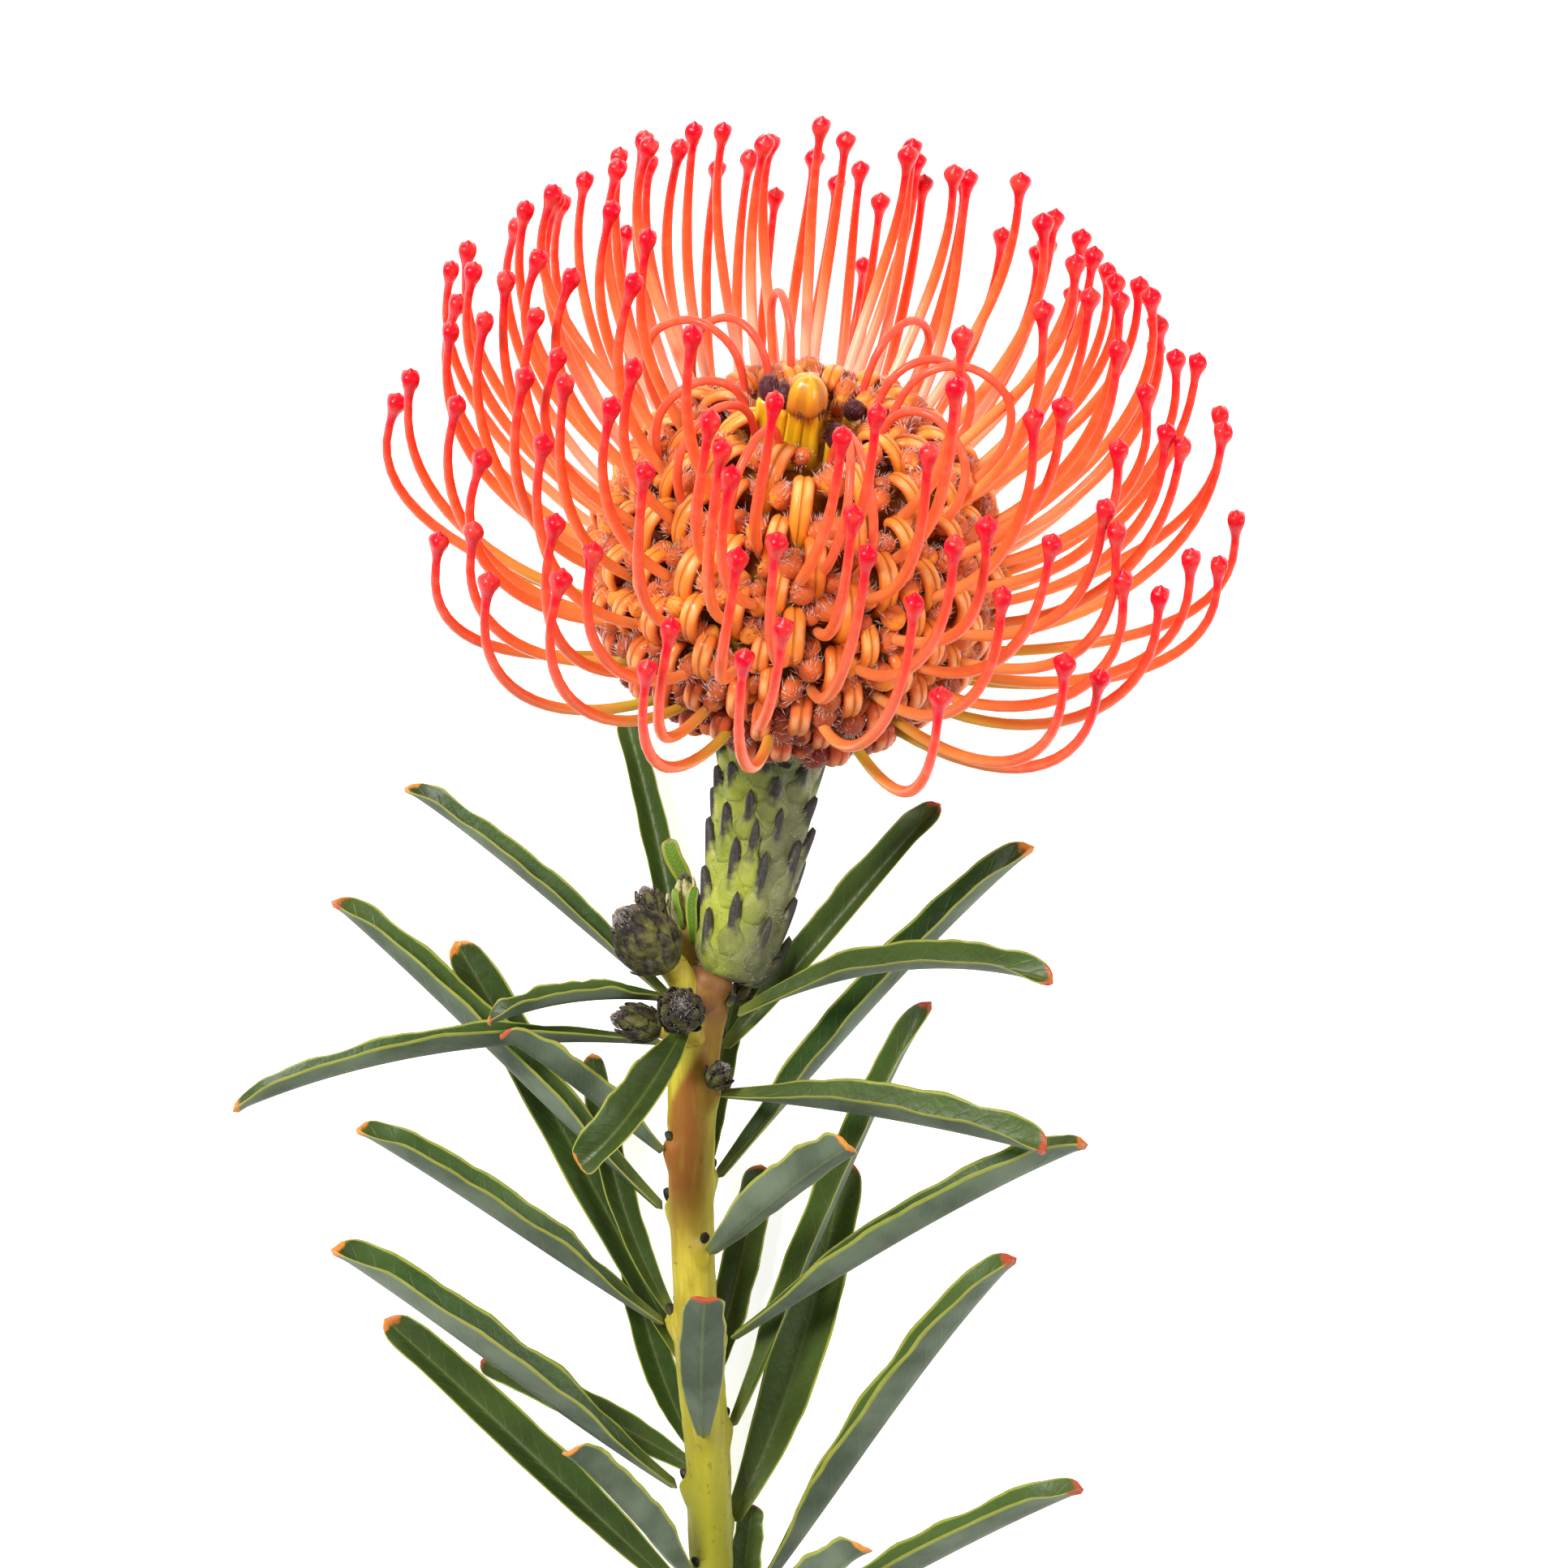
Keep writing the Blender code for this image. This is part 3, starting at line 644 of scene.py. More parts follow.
def bract_skin():
    """Peduncle scales: fresh yellow-green on one flank, olive-grey with grey down on the other and
    darker there with painted shade, with a painted highlight along their edges, and with dry,
    nearly black points."""
    made, tree, shader = new_material(
        "downy bract skin",
        Roughness=0.5,
        Specular_IOR_Level=0.3,
        Sheen_Weight=0.1,
        Sheen_Roughness=0.5,
        Subsurface_Weight=0.1,
        Subsurface_Scale=0.001,
    )
    along, across, tone, side = painted_values(tree)
    cloud = node(tree, "share", speckle(tree, 2.5), 0.3, 0.7)
    fresh = node(tree, "mix", cloud, srgb("#84902A"), srgb("#AEB442"))
    grey_green = node(tree, "mix", speckle(tree, 1.5), srgb("#4E5228"), srgb("#84865A"))
    uneven = product(tree, node(tree, "subtract", speckle(tree, 5.0, 2.0), 0.5), 1.8)
    # The right flank is greyer and darker: partly grey down, partly painted shade.
    downy_and_shaded = node(tree, "share", node(tree, "add", tone, uneven), 0.25, 0.85)
    colour = node(tree, "mix", downy_and_shaded, fresh, grey_green)
    # Painted highlight: a thin pale line along each scale's edges.
    edge_highlight = node(tree, "share", across, 0.7, 0.9)
    edge_highlight = product(tree, edge_highlight, node(tree, "share", across, 1.0, 0.94))
    edge_highlight = product(tree, edge_highlight, node(tree, "share", along, 0.12, 0.25), 0.5)
    colour = node(tree, "mix", edge_highlight, colour, srgb("#D2D488"))
    ragged = product(tree, node(tree, "subtract", speckle(tree, 0.7), 0.5), 0.5)
    inward = product(tree, node(tree, "subtract", 0.4, across), 0.25)
    towards_point = node(tree, "add", node(tree, "add", along, ragged), inward)
    point = node(tree, "share", towards_point, 0.34, 0.62)
    black = node(tree, "mix", speckle(tree, 0.5), srgb("#191715"), srgb("#4A443E"))
    colour = node(tree, "mix", point, colour, black)
    foot = product(tree, side, node(tree, "share", speckle(tree, 1.2), 0.2, 0.6))
    colour = node(tree, "mix", product(tree, foot, 0.8), colour, srgb("#3A3A1E"))
    coloured(tree, shader, colour)
    bumped(tree, shader, speckle(tree, 0.5), 0.2)
    return made


def stem_bark():
    """Young bark: yellow and a little waxy, darker and greener on its right side with painted
    shade, with an orange-brown flush that winds round its top, and dull red-brown where stalks
    meet."""
    made, tree, shader = new_material(
        "young stem bark",
        Roughness=0.5,
        Specular_IOR_Level=0.3,
        Subsurface_Weight=0.1,
        Subsurface_Scale=0.001,
    )
    along, across, tone, side = painted_values(tree)
    # Fibres: noise 0.55 mm across, drawn out eleven times along the stem.
    stretched = node(tree, "stretch", node(tree, "place"), (1.0, 0.09, 1.0))
    streak = node(tree, "noise", stretched, 900.0, 4.0)
    light = node(tree, "share", streak, 0.3, 0.7)
    fresh = node(tree, "mix", light, srgb("#A89A26"), srgb("#D2C244"))
    green = node(tree, "mix", node(tree, "share", along, 0.55, 0.25), fresh, srgb("#9C9A26"))
    flush = product(tree, side, node(tree, "share", streak, 0.05, 0.5))
    colour = node(tree, "mix", flush, green, srgb("#9A6022"))
    # Painted shade: the stem's right side turns darker and greener.
    shaded = product(tree, node(tree, "share", across, 0.3, 1.0), 0.3)
    colour = node(tree, "mix", shaded, colour, srgb("#8E8A26"))
    worn = product(tree, tone, node(tree, "share", speckle(tree, 1.5), 0.1, 0.5))
    colour = node(tree, "mix", worn, colour, srgb("#6E3A28"))
    lenticel = node(tree, "share", speckle(tree, 0.5, 1.0), 0.68, 0.74)
    colour = node(tree, "mix", product(tree, lenticel, 0.5), colour, srgb("#7A5A26"))
    coloured(tree, shader, colour)
    bumped(tree, shader, streak, 0.12)
    return made


def cut_wood():
    """The fresh cut across the stem: pale pith, paler wood and a thin green rind."""
    made, tree, shader = new_material("cut green wood", Roughness=0.7)
    ramp_stops = (
        (0.0, "#C9BD8A"), (0.3, "#D9CF9C"), (0.34, "#B9B06A"), (0.8, "#C8C27A"),
        (0.88, "#8C9A3A"), (1.0, "#8A6A34"),
    )
    ramp = node(tree, "ramp", node(tree, "painted", attribute_name="across"), stops=ramp_stops)
    grain = product(tree, speckle(tree, 0.4), 0.3)
    coloured(tree, shader, node(tree, "mix", grain, ramp, srgb("#A08A50")))
    bumped(tree, shader, speckle(tree, 0.3), 0.08)
    return made


def leaf_blade(name, above_pair, below_pair, sunny, margin_from=0.87):
    """A leathery leaf: dark olive-green and half glossy above, waxy grey-green below, with
    a thick yellow-green margin, a pale midrib, net veins and a dry orange tip."""
    made, tree, shader = new_material(
        name,
        Roughness=0.45,
        Specular_IOR_Level=0.3,
        Subsurface_Weight=0.06,
        Subsurface_Scale=0.001,
        Subsurface_Radius=(0.4, 1.0, 0.2),
    )
    along, across, tone, side = painted_values(tree)
    edge_distance = node(tree, "absolute", across)
    cloud = node(tree, "share", speckle(tree, 5.0, 3.0), 0.3, 0.7)
    above = node(tree, "mix", cloud, *(srgb(text) for text in above_pair))
    above = node(tree, "mix", product(tree, tone, 0.4), above, srgb(sunny))
    below = node(tree, "mix", cloud, *(srgb(text) for text in below_pair))
    colour = node(tree, "mix", node(tree, "share", side, -0.15, 0.15), below, above)
    # Side veins leave the midrib at a narrow angle, about 3 mm apart.
    slant = node(tree, "subtract", product(tree, along, 17.0), product(tree, edge_distance, 1.6))
    wander = node(tree, "add", slant, product(tree, speckle(tree, 3.0, 2.0), 1.4))
    vein = node(tree, "share", node(tree, "pingpong", wander, 0.5), 0.09, 0.0)
    vein = product(tree, vein, node(tree, "share", edge_distance, 0.85, 0.5))
    colour = node(tree, "mix", product(tree, vein, 0.07), colour, srgb("#8CA468"))
    midrib = node(tree, "share", edge_distance, 0.1, 0.02)
    colour = node(tree, "mix", product(tree, midrib, 0.2), colour, srgb("#8F9E4E"))
    ragged = node(tree, "subtract", speckle(tree, 0.9), 0.5)
    edge = node(tree, "add", edge_distance, product(tree, ragged, 0.05))
    margin = node(tree, "share", edge, margin_from, margin_from + 0.07)
    rim = node(tree, "mix", speckle(tree, 1.2), srgb("#848A2C"), srgb("#B0AE4A"))
    colour = node(tree, "mix", product(tree, margin, 0.9), colour, rim)
    foot = node(tree, "share", along, 0.12, 0.02)
    colour = node(tree, "mix", product(tree, foot, 0.5), colour, srgb("#7C842C"))
    # The callus covers the last 2 mm, further down along the edges than in the middle.
    reach = node(tree, "add", along, product(tree, ragged, 0.06))
    reach = node(tree, "add", reach, product(tree, edge_distance, 0.01))
    burnt = node(tree, "share", node(tree, "add", tone, ragged), 0.3, 0.8)
    callus = node(tree, "mix", burnt, srgb("#CE8432"), srgb("#AC4A2A"))
    colour = node(tree, "mix", node(tree, "share", reach, 0.974, 0.99), colour, callus)
    coloured(tree, shader, colour)
    # The lower side is duller by 0.2.
    dull = node(tree, "multiply_add", node(tree, "share", side, 0.1, -0.1), 0.2, 0.42)
    tree.links.new(dull, shader.inputs["Roughness"])
    relief = node(tree, "add", product(tree, vein, 0.3), product(tree, speckle(tree, 0.5), 0.7))
    bumped(tree, shader, relief, 0.14)
    return made


def bud_scale():
    """Bud scales: dry and felted, olive at the heart, nearly black at the woolly edge."""
    made, tree, shader = new_material("felted bud scale", Roughness=0.75, Specular_IOR_Level=0.25)
    along, across, tone, wool = painted_values(tree)
    patch = node(tree, "share", speckle(tree, 1.0), 0.3, 0.7)
    heart = node(tree, "mix", patch, srgb("#38371A"), srgb("#727038"))
    fresh = node(tree, "mix", speckle(tree, 1.2), srgb("#B8B45A"), srgb("#E4DEB4"))
    heart = node(tree, "mix", node(tree, "share", wool, 0.25, 0.12), heart, fresh)
    worn = node(tree, "share", speckle(tree, 0.5), 0.4, 0.75)
    rim = node(tree, "mix", worn, srgb("#1C1816"), srgb("#544A44"))
    frayed = product(tree, node(tree, "subtract", speckle(tree, 0.8), 0.5), 0.9)
    edge = node(tree, "share", node(tree, "add", along, frayed), 0.5, 0.9)
    flank = product(tree, node(tree, "share", node(tree, "absolute", across), 0.7, 1.0), 0.55)
    dark = product(tree, node(tree, "maximum", edge, flank), node(tree, "share", wool, 0.05, 0.4))
    colour = node(tree, "mix", dark, heart, rim)
    colour = node(tree, "mix", product(tree, tone, 0.35), colour, srgb("#24221A"))
    coloured(tree, shader, colour)
    bumped(tree, shader, speckle(tree, 0.4), 0.4)
    return made


# ---- the flower head -----------------------------------------------------------------

STYLE_STEPS = 18
# The knob that presents the pollen: distance past the neck and radius there.
KNOB = (
    (0.6, 0.54),
    (1.4, 0.62),
    (2.1, 0.8),
    (2.7, 1.02),
    (3.2, 1.17),
    (3.7, 1.2),
    (4.1, 1.04),
    (4.3, 0.72),
    (4.5, 0.42),
    (4.75, 0.24),
    (4.95, 0.0),
)
SQUARE_KNOB_FROM = STYLE_STEPS + 3  # the step past which a knob turns from round to four-sided


def style_path(number, draw):
    """The curve of one open style: out from the core, then up along the axis."""
    polar = floret_polar(number, STYLE_COUNT, LOWEST_FLORET, HIGHEST_OPEN_FLORET)
    degrees = math.degrees(polar)
    share = (LOWEST_FLORET - degrees) / (LOWEST_FLORET - HIGHEST_OPEN_FLORET)
    rise = math.radians(max(3.0, 18 + (90 - degrees) * 0.75) + draw.uniform(-4, 4))
    turn = number * GOLDEN_ANGLE + draw.uniform(-0.05, 0.05)
    tip_turn = turn + draw.uniform(-0.1, 0.1)
    reach = blend(LOW_STYLE_REACH, TOP_STYLE_REACH, share) + draw.uniform(-2.0, 1.2)
    reach += RIGHT_LEAN * math.cos(turn)
    for degrees_round, further in SIDE_LEANS:
        apart = math.degrees(angle_between(turn, math.radians(degrees_round)))
        reach += further * bell(apart, LEAN_SPREAD)
    tip_polar = math.radians(blend(LOW_TIP_ANGLE, TOP_TIP_ANGLE, share) + draw.uniform(-4, 4))
    incurve = math.radians(90 + draw.uniform(0, 14))
    start = core_surface(polar, -STYLE_ROOT_DEPTH)
    tip = (reach * math.sin(tip_polar), reach * math.cos(tip_polar))
    chord = math.dist(start, tip)
    ahead, behind = 0.46 * chord, 0.33 * chord
    out = (start[0] + ahead * math.cos(rise), start[1] + ahead * math.sin(rise))
    back = (tip[0] - behind * math.cos(incurve), tip[1] - behind * math.sin(incurve))
    low = in_head(*start, turn), in_head(*out, turn)
    high = in_head(*back, tip_turn), in_head(*tip, tip_turn)
    return low + high, share


def style_radius(share):
    """Fullest along the middle, a little slimmer at the root and under the knob."""
    return 0.6 + 0.09 * step_up(share, 0.0, 0.3) - 0.17 * step_up(share, 0.6, 1.0)


def open_style(piece, form, path, whorl, size, tone):
    """One style: a bent rod with three faint ribs, and a knob of this size at its end."""
    points = [bezier(path, step / STYLE_STEPS) for step in range(STYLE_STEPS + 1)]
    radii = [style_radius(step / STYLE_STEPS) for step in range(STYLE_STEPS + 1)]
    ahead = (path[3] - path[2]).normalized()
    for past, radius in KNOB:
        points.append(path[3] + ahead * past)
        radii.append(radius * size)
    points = [smooth_floor(p, r * 1.12 + 0.15) for p, r in zip(points, radii)]
    # How much the style stands on the back of the head, where its root is painted pale as
    # backlight.
    backlit = step_up(-(path[3] - HEAD_MIDDLE).normalized().dot(HEAD_UP), 0.15, 0.6)

    def section(step, turn):
        rib = 0.1 * math.cos(4 * turn) if step > SQUARE_KNOB_FROM else 0.03 * math.cos(3 * turn)
        radius = radii[step] * (1 + rib)
        return radius * math.cos(turn), radius * math.sin(turn)

    def paint(share, turn):
        step = share * (STYLE_STEPS + len(KNOB))
        if step > STYLE_STEPS:
            return 1 + (step - STYLE_STEPS) / len(KNOB), backlit, tone, whorl
        return step / STYLE_STEPS, backlit, tone, whorl

    piece.add(form, along_path(points, section), paint)


def flower_styles(wax):
    """The open styles. Their form is drawn apart from their colour, as in the solids."""
    piece = Piece("styles")
    draw, paint_draw = random.Random(11), random.Random(12)
    form = closed_form(12, STYLE_STEPS + len(KNOB))
    for number in range(STYLE_COUNT):
        path, whorl = style_path(number, draw)
        open_style(piece, form, path, whorl, paint_draw.uniform(0.92, 1.03), paint_draw.random())
    piece.finish([wax], "styles_and_perianth", "flower_head")


LIMB_FORM = closed_form(10, 8)
LIMB_HAIR_RADIUS = 0.075
LIMB_HAIR_LENGTHS = (0.8, 1.6)


def hairy_limb(piece, middle, outwards, size, draw, whorl, hairs):
    """A perianth limb: a small knob, smooth on one side and felted on the other, with
    hairs combed over it. Materials 1 and 2 of its piece are the felt and the hairs."""
    along = (outwards + any_direction(draw) * 0.5).normalized()
    side = along.orthogonal().normalized()
    up = along.cross(side)
    bare = (any_direction(draw) - HEAD_AXIS * 0.2).normalized()

    def place(share, turn):
        ring = math.sin(math.pi * share) ** 0.9 * size * (0.92 + 0.06 * math.cos(2 * turn))
        height = -math.cos(math.pi * share) * size * 1.15
        return middle + along * height + around(side, up, turn) * ring

    def paint(share, turn):
        facing = (place(share, turn) - middle).normalized().dot(bare)
        return share, 0.0, 0.5 - 0.6 * facing, whorl

    piece.add(LIMB_FORM, place, paint, 1)
    comb = (HEAD_AXIS + any_direction(draw) * 0.8).normalized()
    for _ in range(hairs):
        way = (any_direction(draw) + along * 0.3 - bare * 0.55).normalized()
        lying = (comb - way * comb.dot(way)).normalized()
        root = middle + way * size * 0.93
        lean = lying * 0.85 + way * 0.5 + any_direction(draw) * 0.25
        tip = root + lean * draw.uniform(*LIMB_HAIR_LENGTHS)
        hair(piece, root, tip, LIMB_HAIR_RADIUS, draw.random(), 2)


LOOP_STEPS = 26
# A looped style's line: distance off the head's axis and height.
LOOP_LINE = ((15.0, 9.0), (20.5, 17.5), (20.5, 24.5), (15.5, 28.5), (10.0, 26.0), (7.0, 15.5))


def looped_styles(wax, felt, fur):
    """The inner styles whose tips are still held by their florets."""
    piece = Piece("looped_styles")
    draw = random.Random(5)
    form = closed_form(10, LOOP_STEPS)
    radii = [0.58 - 0.1 * (step / LOOP_STEPS) for step in range(LOOP_STEPS + 1)]
    for number in range(LOOP_COUNT):
        turn = (number + 0.5) * GOLDEN_ANGLE + draw.uniform(-0.1, 0.1)
        swell = draw.uniform(0.88, 1.12)
        lean = draw.uniform(-0.25, 0.25)
        corners = [
            in_head(radius * swell, height * (0.5 + 0.5 * swell), turn + lean * step / 5)
            for step, (radius, height) in enumerate(LOOP_LINE)
        ]
        points = [through(corners, step / LOOP_STEPS) for step in range(LOOP_STEPS + 1)]
        tone = draw.random()
        piece.add(
            form,
            along_path(points, round_section(radii)),
            lambda share, turn: (share * 2, 0.0, tone, 0.8),
        )
        hairy_limb(piece, corners[-1] + HEAD_AXIS * 1.6, HEAD_AXIS, 1.2, draw, 1.0, 26)
    piece.finish([wax, felt, fur], "styles_and_perianth", "flower_head")


CURL_COUNT = 172
LOWEST_CURL = 131.0  # degrees from the head's axis
HIGHEST_CURL = 19.0
CURL_TURN = 0.9  # turns the curls' spiral against the styles'
CURL_STEPS = 16
CURL_HALF_WIDTH = 1.25
CURL_HALF_THICKNESS = 0.55
# A curl's line: how far it lies down the head and how far off the core.
CURL_LINE = flat_route(
    (4.8, -1.6),
    (4.4, 1.0),
    (3.6, 2.9),
    (2.3, 4.5),
    (0.8, 5.5),
    (-0.7, 5.7),
    (-1.9, 5.0),
    (-2.4, 3.8),
    (-2.0, 2.6),
)
# The hairy limbs beside a curl: down the head, beside it, off the core, radius, hairs.
CURL_LIMBS = (
    (-0.2, 2.5, 4.0, 1.75, 64),
    (2.0, -2.1, 3.3, 1.5, 44),
    (-2.3, -1.9, 3.4, 1.35, 40),
)


def curl(piece, form, spot, size, skew, high, tone, whorl):
    """One spent perianth, rolled back over its crest towards the head's middle: a flat
    ribbon of two strands. high lifts its end, skew leans it sideways."""
    line = [through(CURL_LINE, step / CURL_STEPS) * size for step in range(CURL_STEPS + 1)]

    def place(share, angle):
        step = round(share * CURL_STEPS)
        before, after = line[max(step - 1, 0)], line[min(step + 1, CURL_STEPS)]
        ahead = (after - before).normalized()
        outer = Vector((ahead.y, -ahead.x))
        width = CURL_HALF_WIDTH * size * (0.8 + 0.2 * step_up(share, 0.05, 0.45))
        width *= 1 - 0.25 * step_up(share, 0.8, 1.0)
        thick = CURL_HALF_THICKNESS * size
        if step in (0, CURL_STEPS):
            width = thick = 0.0
        groove = 1 - 0.45 * bell(math.cos(angle), 0.28)
        rise = math.sin(angle) * thick * (groove if math.sin(angle) > 0 else 0.8)
        here = line[step] + outer * (rise - 0.25 * math.cos(angle) ** 2 * size)
        sideways = math.cos(angle) * width + skew * share
        return smooth_floor(on_core(*spot, here.x, sideways, here.y + high * share), 0.5)

    piece.add(form, place, lambda share, angle: (share, math.cos(angle), tone, whorl))


def curled_perianths(skin, felt, fur):
    """The curls, and the hairy limbs beside them."""
    curls, limbs = Piece("curled_perianths"), Piece("hairy_perianth_limbs")
    draw = random.Random(41)
    form = closed_form(16, CURL_STEPS)
    for number in range(CURL_COUNT):
        polar = floret_polar(number, CURL_COUNT, LOWEST_CURL, HIGHEST_CURL)
        spot = polar, number * GOLDEN_ANGLE + CURL_TURN + draw.uniform(-0.04, 0.04)
        size = draw.uniform(0.92, 1.08)
        skew = draw.uniform(-0.6, 0.6)
        whorl = number / CURL_COUNT
        high = 0.8 * step_up(whorl, 0.7, 1.0)
        curl(curls, form, spot, size, skew, high, draw.random(), whorl)
        favoured = 1 if draw.random() < 0.6 else -1
        for down_head, beside, lift, radius, hairs in CURL_LIMBS:
            spread = favoured * (beside + draw.uniform(-0.2, 0.2)) + skew * 0.6
            fall = (down_head + draw.uniform(-0.4, 0.4)) * size
            lift = (lift + draw.uniform(-0.3, 0.4)) * size + high
            radius *= draw.uniform(0.85, 1.12)
            middle = smooth_floor(on_core(*spot, fall, spread, lift), 2.0)
            outwards = (middle - HEAD_MIDDLE).normalized()
            hairy_limb(limbs, middle, outwards, radius, draw, whorl * 0.7, hairs)
    curls.finish([skin], "styles_and_perianth", "flower_head")
    limbs.finish([skin, felt, fur], "styles_and_perianth", "flower_head")


CORE_STEPS = 34
CORE_TOP = 18.6
# The receptacle's outline: distance off the head's axis and height.
CORE_OUTLINE = flat_route(
    (CORE_FOOT_RADIUS - 0.2, CORE_FOOT_HEIGHT),
    (8.8, -21.0),
    (13.0, -14.5),
    (17.6, -8.6),
    (20.0, -2.4),
    (20.2, 4.2),
    (18.2, 9.8),
    (14.4, 14.0),
    (9.0, 17.0),
    (2.8, 18.4),
)
FOOT_ZONE = 17.0  # height over which the head's foot widens to the florets
FOOT_HAIRS = 1400


def floret_core(wool, fur):
    """The receptacle under the florets, and the down round its foot."""
    piece = Piece("receptacle")

    def place(share, turn):
        step = round(share * CORE_STEPS)
        if step in (0, CORE_STEPS):
            return in_head(0, CORE_TOP if step else CORE_FOOT_HEIGHT, 0)
        spot = through(CORE_OUTLINE, between_ends(step, CORE_STEPS))
        lumps = 0.5 * rough(in_head(spot.x, spot.y, turn), 2.2)
        return in_head(spot.x + lumps, spot.y, turn)

    piece.add(closed_form(56, CORE_STEPS), place, lambda share, turn: (share, 0.0, 0.0, 0.0))
    draw = random.Random(61)
    for _ in range(FOOT_HAIRS):
        height = draw.uniform(-25.8, -9.0)
        share = (height - CORE_FOOT_HEIGHT) / FOOT_ZONE
        radius = blend(6.4, 16.6, share**0.9) + draw.uniform(-0.2, 0.5)
        turn = draw.uniform(0, math.tau)
        root = in_head(radius, height, turn)
        out, up = draw.uniform(0.5, 1.6), draw.uniform(-0.6, 1.2)
        tip = in_head(radius + out, height + up, turn + draw.uniform(-0.1, 0.1))
        hair(piece, root, tip, 0.06, draw.random(), 1)
    piece.finish([wool, fur], "styles_and_perianth", "flower_head")


# ---- scales, on the head's foot, the peduncle and the buds ----------------------------

PEDUNCLE_SCALE_WIDTHS = flat_route(
    *((width, 0.0) for width in (0.5, 0.9, 1.0, 0.72, 0.3, 0.23, 0.19, 0.13, 0.0))
)


def bud_scale_width(share):
    """Outline of a bud's scale: broad at its foot, then rounded to a short point."""
    return min(1.0, 1.35 * (1 - share) ** 0.62)


def peduncle_scale_width(share):
    """Outline of a peduncle's scale: a cushion drawn out to a long, narrow point."""
    return max(0.0, through(PEDUNCLE_SCALE_WIDTHS, share).x)


def scale(piece, form, surface, outline, start, reach, turn, half_turn, lift, thick, sink, marks):
    """A scale that lies on a surface and points along it. surface(along, turn, lift)
    gives a point, outline(share) the scale's width, lift the height of its foot and of
    its point, sink how far its edges go down at its foot and at its point, and marks its
    tone and side values."""
    tone, side = marks

    def place(share, angle):
        width = half_turn * outline(share) * math.cos(angle)
        hollow = blend(sink[0], sink[1], step_up(share, 0.35, 0.7)) * math.cos(angle) ** 2
        ends = math.sin(math.pi * min(1.0, share + 0.02)) ** 0.3 if 0 < share < 1 else 0.0
        off = blend(lift[0], lift[1], share**1.6) + thick * math.sin(angle) * ends - hollow
        return surface(start + reach * share, turn + width, off)

    piece.add(form, place, lambda share, angle: (share, abs(math.cos(angle)), tone, side))


FOOT_BRACTS = 52
FOOT_TUBES = 76
FOOT_TUBE_RADII = (0.8, 0.78, 0.75, 0.75, 0.78, 0.85, 0.9, 0.85, 0.5)


def foot_surface(height, turn, lift):
    """A point on the head's foot, above its joint with the peduncle."""
    share = (height - CORE_FOOT_HEIGHT) / FOOT_ZONE
    radius = blend(CORE_FOOT_RADIUS, 16.9, max(0.0, share) ** 0.95)
    return in_head(radius + lift * 0.85, height - lift * 0.5, turn)


def foot_bracts(skin, tube_skin):
    """Round the head's foot: bracts with dark points, and the yellow-green tubes of the
    lowest florets."""
    piece = Piece("involucre")
    draw = random.Random(71)
    form = closed_form(12, 10)
    for number in range(FOOT_BRACTS):
        scale(
            piece,
            form,
            foot_surface,
            bud_scale_width,
            start=blend(-25.8, -17.0, (number + 0.5) / FOOT_BRACTS),
            reach=draw.uniform(5.0, 6.2),
            turn=number * GOLDEN_ANGLE,
            half_turn=draw.uniform(0.24, 0.3),
            lift=(0.1, draw.uniform(0.9, 1.8)),
            thick=0.4,
            sink=(0.1, 0.1),
            marks=(draw.uniform(0.1, 0.7), 0.0),
        )
    steps = len(FOOT_TUBE_RADII) - 1
    form = closed_form(8, steps)
    for number in range(FOOT_TUBES):
        polar = math.radians(blend(147, 120, (number + 0.5) / FOOT_TUBES))
        turn = number * GOLDEN_ANGLE + 0.3
        radius, height = core_surface(polar, -1.0)
        out = draw.uniform(4.2, 5.8)
        points = []
        for step in range(steps + 1):
            share = step / steps
            rise = out * (0.25 * share + 0.3 * share * share)
            point = in_head(radius + out * share, height + rise, turn)
            points.append(smooth_floor(point, 1.2))
        tone = draw.random()
        piece.add(
            form,
            along_path(points, round_section(FOOT_TUBE_RADII)),
            lambda share, angle: (share * 0.6, math.cos(3 * angle), tone * 0.4, 0.0),
            1,
        )
    piece.finish([skin, tube_skin], "styles_and_perianth", "flower_head")


# ---- the closed florets in the middle of the head -------------------------------------

APEX_FLORETS = 34
APEX_CROWN = 25.0
OUTER_APEX_SPACING = 1.75
TUBE_STEPS = 14
TUBE_RADIUS = 1.2
# Tubes in front of the others: to the right, to the front, and whether a cap sits there.
FRONT_TUBES = ((-6.2, 2.9, False), (-4.4, 3.4, False), (-2.5, 3.7, True), (-0.6, 3.7, False))
FRONT_TUBE_FOOT = 15.0
FRONT_CROWN = 26.4
FRONT_CAP_RADIUS = 2.3
FRONT_CAP_SHIFT = 0.9  # to the right, so that the cap covers two tubes
CAP_HAIRS = 110
# The cap's outline in shares of its radius: distance off its axis and height.
CAP_OUTLINE = flat_route(
    (0.5, -0.1), (1.0, -0.35), (1.04, 0.3), (0.92, 0.95), (0.55, 1.5), (0.2, 1.62)
)


def closed_tube(piece, form, foot, crown, tone):
    """A closed floret's tube: four-sided, and a little fuller in places."""
    points = [foot + (crown - foot) * (step / TUBE_STEPS) for step in range(TUBE_STEPS + 1)]

    def section(step, angle):
        wide = TUBE_RADIUS + 0.1 * math.cos(4 * angle) + 0.1 * math.sin(step * 0.45)
        return wide * math.cos(angle), wide * math.sin(angle)

    place = along_path(points, section)
    piece.add(form, place, lambda share, angle: (share, math.cos(4 * angle), tone, 0.0))


